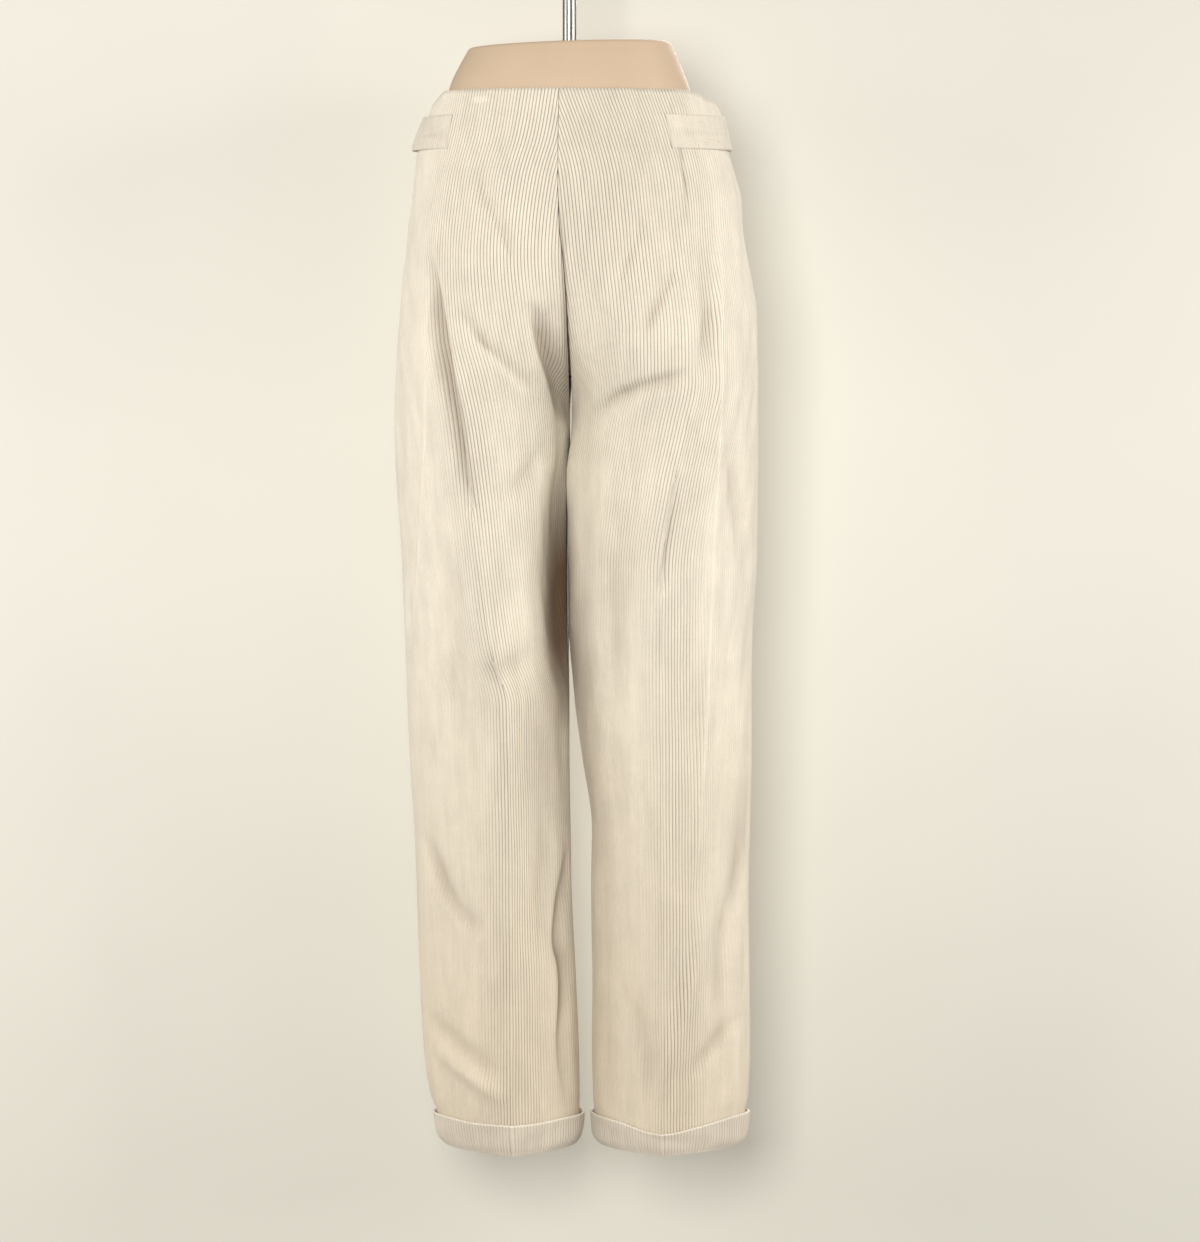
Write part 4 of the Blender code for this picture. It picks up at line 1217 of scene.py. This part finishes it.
def button_material():
    """Polished horn-like resin with soft streaks."""
    look = bpy.context.scene.corduroy_look
    color = tuple(look.button_color)
    work = Nodes("button_resin", color, 0.32, coat=0.25)
    streak = work.noise(190.0, 4.0, 0.6, stretch=(1.0, 1.0, 0.25))
    cloud = work.noise(420.0, 3.0, 0.5, shift=(1.0, 2.0, 3.0))
    tone = work.mix(work.scaled(streak, 0.35, 0.65), shade(color, 0.72), shade(color, 1.18))
    work.color(work.mix(work.scaled(cloud, 0.4, 0.75, 0.0, 0.5), tone, shade(color, 1.35)))
    work.roughness(work.scaled(cloud, 0.3, 0.7, 0.26, 0.42))
    work.bump(cloud, 0.00004)
    return work.material


def thread_material():
    """Twisted sewing thread."""
    look = bpy.context.scene.corduroy_look
    color = tuple(look.thread_color)
    work = Nodes("sewing_thread", color, 0.7, sheen=0.2)
    twist = work.noise(2600.0, 2.0, 0.6, stretch=(1.0, 1.0, 0.5))
    work.color(work.mix(work.scaled(twist, 0.3, 0.7), shade(color, 0.82), shade(color, 1.1)))
    work.bump(twist, 0.0001)
    return work.material


def form_material():
    """Smooth moulded plastic in a skin-like tan, with slight marks of handling."""
    look = bpy.context.scene.corduroy_look
    color = tuple(look.form_color)
    work = Nodes("moulded_form", color, 0.58)
    broad = work.noise(9.0, 3.0, 0.5)
    fine = work.noise(520.0, 3.0, 0.6)
    scuff = work.noise(46.0, 4.0, 0.7, stretch=(1.0, 1.0, 0.35))
    tone = work.mix(work.scaled(broad, 0.35, 0.65), shade(color, 0.965), shade(color, 1.03))
    work.color(work.mix(work.scaled(scuff, 0.58, 0.78, 0.0, 0.35), tone, shade(color, 0.9)))
    work.roughness(work.math("ADD", work.scaled(broad, 0.3, 0.7, 0.52, 0.64),
                             work.scaled(scuff, 0.5, 0.8, 0.0, 0.14)))
    work.bump(fine, 0.00003)
    return work.material


def rod_material():
    """Drawn steel with fine lengthwise draw marks."""
    look = bpy.context.scene.corduroy_look
    color = tuple(look.rod_color)
    work = Nodes("drawn_steel", color, 0.3, metallic=1.0)
    drawn = work.noise(900.0, 3.0, 0.6, stretch=(1.0, 1.0, 0.03))
    smudge = work.noise(60.0, 3.0, 0.6)
    work.color(work.mix(work.scaled(drawn, 0.3, 0.7), shade(color, 0.86), shade(color, 1.08)))
    work.roughness(work.math("ADD", work.scaled(drawn, 0.3, 0.7, 0.22, 0.36),
                             work.scaled(smudge, 0.45, 0.75, 0.0, 0.12)))
    work.bump(drawn, 0.00003)
    return work.material


def backdrop_material(name, glow):
    """Matt pale paint that is seen from its front only, so that nothing hides the piece from behind."""
    look = bpy.context.scene.studio_look
    color = tuple(look.floor_color)
    work = Nodes(name, color, 0.95)
    grain = work.noise(3.0, 2.0, 0.5)
    where = work.node("ShaderNodeSeparateXYZ", Vector=work.place)
    paint = work.mix(work.scaled(grain, 0.3, 0.7), shade(color, 0.985), shade(color, 1.015))
    # painted shade: the backdrop darker at its top, its foot and its right side, as the light falls
    foot = work.mix(1.0, paint, shade((1.0, 1.0, 0.98), look.foot_shade), "MULTIPLY")
    head = work.mix(1.0, paint, shade((1.0, 1.0, 1.0), look.head_shade), "MULTIPLY")
    wall = work.mix(work.scaled(where.outputs[2], -0.02, -0.46), head, paint)
    wall = work.mix(work.scaled(where.outputs[2], -0.62, -1.25), wall, foot)
    far_side = work.mix(1.0, wall, shade((1.0, 1.0, 1.0), look.far_shade), "MULTIPLY")
    work.color(work.mix(work.scaled(where.outputs[0], -0.35, 0.45), wall, far_side))
    work.shader.inputs["Emission Color"].default_value = (*color, 1.0)
    work.shader.inputs["Emission Strength"].default_value = glow
    clear = work.node("ShaderNodeBsdfTransparent")
    front = work.node("ShaderNodeNewGeometry")
    both = work.node("ShaderNodeMixShader", i0=front.outputs["Backfacing"])
    work.tree.links.new(work.shader.outputs[0], both.inputs[1])
    work.tree.links.new(clear.outputs[0], both.inputs[2])
    work.tree.links.new(both.outputs[0], work.tree.nodes["Material Output"].inputs["Surface"])
    return work.material


def cloth_materials():
    """Outer and reverse side of the corduroy."""
    return [ready("corduroy_pile", corduroy_material), ready("corduroy_reverse", reverse_material)]


# ======================================================================================
# Sizes and colours
# ======================================================================================
def length_prop(name, description, default):
    """A length in metres."""
    return FloatProperty(name=name, description=description, default=default, unit="LENGTH", precision=5)


def color_prop(name, description, default):
    """A linear colour."""
    return FloatVectorProperty(name=name, description=description, default=default, subtype="COLOR", size=3,
                               min=0.0, max=1.0)


def level_prop(name, description, default):
    """A share or strength from 0 to 1."""
    return FloatProperty(name=name, description=description, default=default, min=0.0, max=1.0)


def power_prop(name, description, default):
    """A light's power."""
    return FloatProperty(name=name, description=description, default=default, min=0.0)


class ClothSizes(bpy.types.PropertyGroup):
    """Sizes of the corduroy and of how it is sewn."""

    wale_pitch: length_prop("Wale pitch", "Distance from one wale to the next", 0.0032)
    wale_height: length_prop("Wale height", "How far a wale stands above its groove", 0.00090)
    cloth_thickness: length_prop("Cloth thickness", "Wall of one panel", 0.0016)
    cuff_thickness: length_prop("Turn-up thickness", "Wall of the folded turn-up", 0.0026)
    cuff_dip_left: length_prop("Left turn-up dip", "Dip of the left turn-up's top edge at the crease", 0.0028)
    cuff_dip_right: length_prop("Right turn-up dip", "Dip of the right one's top edge at the crease", 0.0095)
    tab_thickness: length_prop("Tab thickness", "Wall of a side tab", 0.0022)
    fly_thickness: length_prop("Fly thickness", "Wall of the fly cover", 0.0015)
    seam_roll: length_prop("Seam roll", "How far the cloth turns in at a seam", 0.0006)
    softness: length_prop("Softness", "Height of the cloth's small uneven waves", 0.0009)
    seat_lean: FloatProperty(name="Seat lean", description="How much the wales lean outward above the seat",
                             default=0.085, min=0.0, max=0.4)
    fold_strength: FloatProperty(name="Fold strength", description="Share of each fold's full height",
                                 default=1.15, min=0.0, max=1.5, subtype="FACTOR")
    rows_above: IntProperty(name="Rows above the crotch", description="Rows of faces above the crotch",
                            default=92, min=20, max=120)
    rows_below: IntProperty(name="Rows below the crotch", description="Rows of faces below the crotch",
                            default=140, min=20, max=160)


class FittingSizes(bpy.types.PropertyGroup):
    """Sizes of the buttons, stitches, form and rod."""

    button_radius: length_prop("Button radius", "Half the width of a button", 0.0085)
    button_thickness: length_prop("Button thickness", "Height of a button's rim", 0.0030)
    thread_radius: length_prop("Thread radius", "Half the width of the sewing thread", 0.00028)
    stitch_length: length_prop("Stitch length", "Length of one stitch", 0.0030)
    stitch_gap: length_prop("Stitch gap", "Cloth between two stitches", 0.0011)
    rod_radius: length_prop("Rod radius", "Half the width of the rod", 0.0065)


class CorduroyLook(bpy.types.PropertyGroup):
    """Colours and finish of every material."""

    cloth_color: color_prop("Cloth", "Colour of the corduroy's pile", (0.806, 0.764, 0.680))
    # painted shade: the pile's colour low on the legs, darker where less light falls
    low_color: color_prop("Lower legs", "Colour of the pile towards the turn-ups", (0.712, 0.643, 0.535))
    # painted shade: the dark tint laid over the pile in folds and hollows
    painted_shade_color: color_prop("Hollows", "Tint of the pile in the deepest hollows", (0.20, 0.125, 0.075))
    # painted shade over the turn-ups, which face down away from the light
    turn_up_shade: color_prop("Turn-ups", "Tint of the turn-ups against the legs", (0.95, 0.97, 1.02))
    reverse_color: color_prop("Reverse", "Colour of the cloth's back", (0.68, 0.63, 0.54))
    sheen_color: color_prop("Sheen", "Tint of the pile's sheen", (1.0, 0.95, 0.86))
    button_color: color_prop("Buttons", "Colour of the buttons", (0.45, 0.34, 0.22))
    thread_color: color_prop("Thread", "Colour of the sewing thread", (0.68, 0.61, 0.49))
    form_color: color_prop("Form", "Colour of the hip form", (0.560, 0.428, 0.300))
    rod_color: color_prop("Rod", "Colour of the steel rod", (0.30, 0.295, 0.288))
    sheen: level_prop("Sheen", "Strength of the pile's sheen", 0.30)
    groove_shade: level_prop("Groove shade", "Brightness of the grooves against the wales", 0.38)
    brightness: FloatProperty(name="Brightness", description="Brightness of the cloth's colour",
                              default=1.0, min=0.5, max=1.5)


class StudioLook(bpy.types.PropertyGroup):
    """Light, background and lens."""

    floor_color: color_prop("Backdrop", "Colour of the floor and backdrop", (0.740, 0.728, 0.664))
    sky_color: color_prop("Surround", "Colour of the soft light all round", (1.0, 0.94, 0.855))
    sky_strength: level_prop("Surround strength", "Strength of the soft light", 0.38)
    key_power: power_prop("Key power", "Power of the main light, in watts", 61.0)
    side_power: power_prop("Side power", "Power of the two side lights, in watts", 44.0)
    back_power: power_prop("Back power", "Power of the light behind, in watts", 105.0)
    foot_shade: level_prop("Foot shade", "Brightness of the backdrop's foot against its middle", 0.90)
    far_shade: level_prop("Far shade", "Brightness of the backdrop's right side against its left", 0.93)
    head_shade: level_prop("Head shade", "Brightness of the backdrop's top against its middle", 0.87)
    sweep_glow: level_prop("Sweep glow", "Light that the sweep gives of itself", 0.30)
    wall_glow: level_prop("Wall glow", "Light that the wall gives of itself", 0.05)
    wall_gap: length_prop("Wall gap", "How far the wall stands behind the middle of the trousers", 0.16)
    floor_drop: length_prop("Floor drop", "How far the floor lies below the turn-ups", 0.26)


PROPERTY_GROUPS = (
    ("cloth_sizes", ClothSizes), ("fitting_sizes", FittingSizes), ("corduroy_look", CorduroyLook),
    ("studio_look", StudioLook),
)


# ======================================================================================
# Operators
# ======================================================================================
def cut_size(side, face):
    """Flat width, length and area of a panel: its widest row, its length on the crease, all its rows."""
    rows = row_heights(24, 36)
    share = np.linspace(0, 1, LOOP_SHARES)[None, :]
    z = rows[:, None] + 0 * share
    line = base_point(side, face, share_turn(side, face, share, z), z)
    widths = np.linalg.norm(np.diff(line, axis=1), axis=-1).sum(axis=1)
    middle = np.linalg.norm(np.diff(line[:, LOOP_SHARES // 2], axis=0), axis=-1)
    area = float(((widths[:-1] + widths[1:]) / 2 * middle).sum())
    return float(widths.max()), float(middle.sum()), area


def dress(item, node):
    """Hides the frame's part that a piece stands for and hangs the piece from the root."""
    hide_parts(node)
    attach(item, "root")


def make_panels(face):
    """Both panels of one face."""
    sizes = bpy.context.scene.cloth_sizes
    for side in (LEFT, RIGHT):
        item = corduroy_panel(side, face, sizes, cloth_materials())
        dress(item, FACE_NAME[face] + "_" + SIDE_NAME[side])
        width, length, area = cut_size(side, face)


class TROUSERS_OT_backs(bpy.types.Operator):
    """Cut and hang the two ribbed back panels"""

    bl_idname = "trousers.backs"
    bl_label = "Back panels"

    def execute(self, context):
        make_panels(BACK)
        return {"FINISHED"}


class TROUSERS_OT_fronts(bpy.types.Operator):
    """Cut and hang the two ribbed front panels"""

    bl_idname = "trousers.fronts"
    bl_label = "Front panels"

    def execute(self, context):
        make_panels(FRONT)
        return {"FINISHED"}


class TROUSERS_OT_turn_ups(bpy.types.Operator):
    """Fold a turn-up round the end of each leg"""

    bl_idname = "trousers.turn_ups"
    bl_label = "Turn-ups"

    def execute(self, context):
        sizes = context.scene.cloth_sizes
        for side in (LEFT, RIGHT):
            item = turn_up(side, sizes, cloth_materials()[:1])
            dress(item, "cuff_" + SIDE_NAME[side])
            distance = leg_loop(side, (CUFF_TOP + CUFF_BOTTOM) / 2)[2]
        return {"FINISHED"}


class TROUSERS_OT_side_tabs(bpy.types.Operator):
    """Lay the two waist tabs round the side seams"""

    bl_idname = "trousers.side_tabs"
    bl_label = "Side tabs"

    def execute(self, context):
        for node, side, back_end, front_end, stand_off in TABS:
            item = side_tab(node, side, back_end, front_end, stand_off, context.scene.cloth_sizes,
                            cloth_materials()[:1])
            dress(item, node)
            places = tab_places(side, back_end, front_end)
            row = lay_on(side, places, [(TAB_TOP + TAB_BOTTOM) / 2], [[REST_GAP] * len(places)])[0][0]
        return {"FINISHED"}


class TROUSERS_OT_fly(bpy.types.Operator):
    """Lay the fly cover on the wearer's right front"""

    bl_idname = "trousers.fly"
    bl_label = "Fly cover"

    def execute(self, context):
        item = fly_cover(context.scene.cloth_sizes, cloth_materials()[:1])
        dress(item, "fly_flap")
        return {"FINISHED"}


def button_spots(context):
    """Each button's node, the cloth below it and how far out it sits."""
    sizes = context.scene.cloth_sizes
    spots = []
    for node, tab in (("button_left", TABS[0]), ("button_right", TABS[1])):
        low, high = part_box(node)
        middle = (Vector(low) + Vector(high)) / 2
        spots.append((node, tab[1], FRONT, middle.x, middle.z, REST_GAP + sizes.tab_thickness))
    low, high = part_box("button_waist")
    middle = (Vector(low) + Vector(high)) / 2
    spots.append(("button_waist", RIGHT, FRONT, middle.x, middle.z, FLY_GAP + sizes.fly_thickness))
    return spots


class TROUSERS_OT_buttons(bpy.types.Operator):
    """Sew the waist button and the two tab buttons on with crossed thread"""

    bl_idname = "trousers.buttons"
    bl_label = "Buttons"

    def execute(self, context):
        fittings = context.scene.fitting_sizes
        for node, side, face, x, z, out in button_spots(context):
            spot = place_frame(side, face, x, z)
            out = out + BUTTON_LIFT
            disc = button_disc("turned_" + node, spot, fittings.button_radius, fittings.button_thickness, out,
                               ready("button_resin", button_material))
            dress(disc, node)
            here, normal, right, up = spot
            apart = fittings.button_radius * HOLE_APART
            top = out + fittings.button_thickness * BUTTON_DISH
            found = []
            for sign in (1, -1):
                for aside in (-1, 0, 1):
                    cross = (right * -sign + up) * aside * 0.00022
                    reach_out = (right + up * sign) * apart * 1.06
                    centre = here + normal * (top + 0.00016 + 0.0002 * (sign > 0)) + cross
                    found.append((centre - reach_out, centre + reach_out, normal))
            thread = thread_object("thread_" + node, found, fittings.thread_radius * 0.8, 0.0007,
                                   ready("sewing_thread", thread_material))
            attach(thread, "root")
        return {"FINISHED"}


class TROUSERS_OT_stitching(bpy.types.Operator):
    """Sew the fly's curved seam"""

    bl_idname = "trousers.stitching"
    bl_label = "Stitching"

    def execute(self, context):
        sizes = context.scene.cloth_sizes
        fittings = context.scene.fitting_sizes
        material = ready("sewing_thread", thread_material)
        inset = 0.0042
        from_edge = 0.030
        points = []
        normals = []
        for z in np.linspace(FLY_TOP - 0.004, FLY_TOP - FLY_LENGTH * 0.985 + inset, 90):
            edge = max(0.006, fly_edge(z) - from_edge)
            out = FLY_GAP + sizes.fly_thickness + 0.00005
            grid, normal = lay_on(RIGHT, [(FRONT, edge)], [z], [[out]])
            points.append(grid[0, 0])
            normals.append(normal[0, 0])
        rows = stitch_line(np.array(points), np.array(normals), fittings.stitch_length, fittings.stitch_gap)
        item = thread_object("thread_fly", rows, fittings.thread_radius, 0.00035, material)
        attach(item, "root")
        return {"FINISHED"}


class TROUSERS_OT_form(bpy.types.Operator):
    """Mould the smooth hip form that fills the waist and seat"""

    bl_idname = "trousers.form"
    bl_label = "Hip form"

    def execute(self, context):
        socket = context.scene.fitting_sizes.rod_radius + SEAM_GAP
        wide = Column(FORM, FORM_COLUMNS, "half_width")
        thick = Column(FORM, FORM_COLUMNS, "half_depth")
        loops = [(FORM_TOP - ROD_DEPTH, socket, socket),
                 (FORM_TOP - 0.0012, socket, socket),
                 (FORM_TOP - 0.0003, socket + 0.0004, socket + 0.0004),
                 (FORM_TOP, socket + 0.0012, socket + 0.0012)]
        loops += [(FORM_TOP, FORM[0][1] * k / 6, FORM[0][2] * k / 6) for k in range(1, 6)]
        loops += [(FORM_TOP - 0.0001, FORM[0][1] * 0.985, FORM[0][2] * 0.985)]
        rim = 0.0032
        for a in np.linspace(0.2, 1.0, 6) * math.pi / 2:
            z = FORM_TOP - rim * (1 - math.cos(a))
            inset = rim * (1 - math.sin(a)) * 0.5
            loops.append((z, wide(z - 0.0004) - inset, thick(z - 0.0004) - inset))
        lowest = FORM[-1][0]
        for z in np.linspace(FORM_TOP - 0.0048, lowest, 90):
            loops.append((z, float(wide(z)), float(thick(z))))
        count = 128
        angle = 2 * math.pi * np.arange(count) / count
        points = []
        for index, (level, across, through) in enumerate(loops):
            lean = FORM_ROLL * max(0.0, 1 - (FORM_TOP - level) / 0.03) if index else 0.0
            x, y = across * np.cos(angle), through * np.sin(angle)
            points.append(np.stack([x, y, level + lean * x], axis=-1))
        faces = grid_faces(len(loops), count, closed_round=True)
        faces.append(tuple(range(count)))
        last = (len(loops) - 1) * count
        bottom = len(loops) * count
        faces += [(last + k, last + (k + 1) % count, bottom) for k in range(count)]
        everything = np.concatenate(points + [np.array([[0.0, 0.0, lowest - 0.0008]])])
        item = new_object("moulded_hip_form", everything, faces, [ready("moulded_form", form_material)])
        face_out(item)
        item.data.set_sharp_from_angle(angle=math.radians(60))
        dress(item, "hip_form")
        return {"FINISHED"}


class TROUSERS_OT_rod(bpy.types.Operator):
    """Turn the steel rod that the form hangs from, with a bevelled free end"""

    bl_idname = "trousers.rod"
    bl_label = "Rod"

    def execute(self, context):
        radius = context.scene.fitting_sizes.rod_radius
        low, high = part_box("rod")
        bevel = 0.0008
        profile = [(radius - bevel, low[2]), (radius, low[2] + bevel)]
        profile += [(radius - bevel * (1 - math.cos(a)), high[2] - bevel * (1 - math.sin(a)))
                    for a in np.linspace(0, math.pi / 2, 6)]
        count = 64
        faces = grid_faces(len(profile), count, closed_round=True)
        faces.append(tuple(range(count))[::-1])
        faces.append(tuple((len(profile) - 1) * count + k for k in range(count)))
        item = new_object("drawn_rod", turned_points(profile, count), faces,
                          [ready("drawn_steel", rod_material)])
        face_out(item)
        item.data.set_sharp_from_angle(angle=math.radians(40))
        dress(item, "rod")
        return {"FINISHED"}


def area_light(name, place, aim, size, power, color):
    """Soft square light turned to a point."""
    data = bpy.data.lights.new(name, "AREA")
    data.size = size
    data.energy = power
    data.color = color
    item = bpy.data.objects.new(name, data)
    item.location = place
    item.rotation_euler = (Vector(aim) - Vector(place)).to_track_quat("-Z", "Y").to_euler()
    bpy.context.collection.objects.link(item)
    return item


class TROUSERS_OT_studio(bpy.types.Operator):
    """Set the pale sweep, the soft lights and the camera"""

    bl_idname = "trousers.studio"
    bl_label = "Studio"

    def execute(self, context):
        look = context.scene.studio_look
        floor = CUFF_BOTTOM - look.floor_drop
        flat, bend, height = 5.0, 1.4, 3.4
        profile = [(0.001, floor), (flat * 0.5, floor), (flat, floor)]
        profile += [(flat + bend * math.sin(a), floor + bend * (1 - math.cos(a)))
                    for a in np.linspace(0.1, 1.0, 14) * math.pi / 2]
        profile.append((flat + bend, floor + height))
        count = 96
        inward = [face[::-1] for face in grid_faces(len(profile), count, closed_round=True)]
        sweep = new_object("sweep", turned_points(profile, count), inward,
                           [backdrop_material("sweep_paint", look.sweep_glow)])
        wide, tall = 0.85, 2.6
        wall_points = [(-wide, look.wall_gap, floor), (wide, look.wall_gap, floor),
                       (wide, look.wall_gap, floor + tall), (-wide, look.wall_gap, floor + tall)]
        wall = new_object("wall", np.array(wall_points), [(0, 1, 2, 3)],
                          [backdrop_material("wall_paint", look.wall_glow)])
        for item in (sweep, wall):
            item.visible_diffuse = False
            item.visible_glossy = False
            item.visible_shadow = False

        world = bpy.data.worlds.new("studio")
        world.use_nodes = True
        ground = world.node_tree.nodes["Background"]
        ground.inputs["Color"].default_value = (*look.sky_color, 1.0)
        ground.inputs["Strength"].default_value = look.sky_strength
        context.scene.world = world
        for name, place, width, power, share, color in LIGHTS:
            area_light(name, place, LIGHT_AIM, width, getattr(look, power) * share, color)
        context.scene.view_settings.view_transform = "Standard"

        lens = bpy.data.cameras.new("camera")
        lens.sensor_width = 36.0
        distance = math.hypot(EYE_DISTANCE, EYE_HEIGHT - AIM[2])
        lens.lens = lens.sensor_width * distance / VIEW_HEIGHT
        lens.clip_end = 50.0
        eye = bpy.data.objects.new("camera", lens)
        eye.location = (AIM[0], -EYE_DISTANCE, EYE_HEIGHT)
        eye.rotation_euler = (Vector(AIM) - eye.location).to_track_quat("-Z", "Y").to_euler()
        context.collection.objects.link(eye)
        context.scene.camera = eye
        return {"FINISHED"}


PIECES = (
    TROUSERS_OT_backs, TROUSERS_OT_fronts, TROUSERS_OT_turn_ups, TROUSERS_OT_side_tabs, TROUSERS_OT_fly,
    TROUSERS_OT_buttons, TROUSERS_OT_stitching, TROUSERS_OT_form, TROUSERS_OT_rod, TROUSERS_OT_studio,
)


class TROUSERS_PT_panel(bpy.types.Panel):
    """Sizes, colours and pieces of the trousers"""

    bl_label = "Corduroy trousers"
    bl_idname = "TROUSERS_PT_panel"
    bl_space_type = "VIEW_3D"
    bl_region_type = "UI"
    bl_category = "Trousers"

    def draw(self, context):
        for name, group in PROPERTY_GROUPS:
            box = self.layout.box()
            box.label(text=group.__doc__)
            for key in group.__annotations__:
                box.prop(getattr(context.scene, name), key)
        for piece in PIECES:
            self.layout.operator(piece.bl_idname)


def register():
    """Adds the sizes, operators and panel to Blender."""
    for name, group in PROPERTY_GROUPS:
        bpy.utils.register_class(group)
        setattr(bpy.types.Scene, name, PointerProperty(type=group))
    for item in PIECES + (TROUSERS_PT_panel,):
        bpy.utils.register_class(item)


def unregister():
    """Takes them out again."""
    for item in (TROUSERS_PT_panel,) + PIECES[::-1]:
        bpy.utils.unregister_class(item)
    for name, group in PROPERTY_GROUPS[::-1]:
        delattr(bpy.types.Scene, name)
        bpy.utils.unregister_class(group)


def main():
    """Builds every piece in order."""
    register()
    for piece in PIECES:
        group, name = piece.bl_idname.split(".")
        getattr(getattr(bpy.ops, group), name)()


if __name__ == "__main__":
    main()
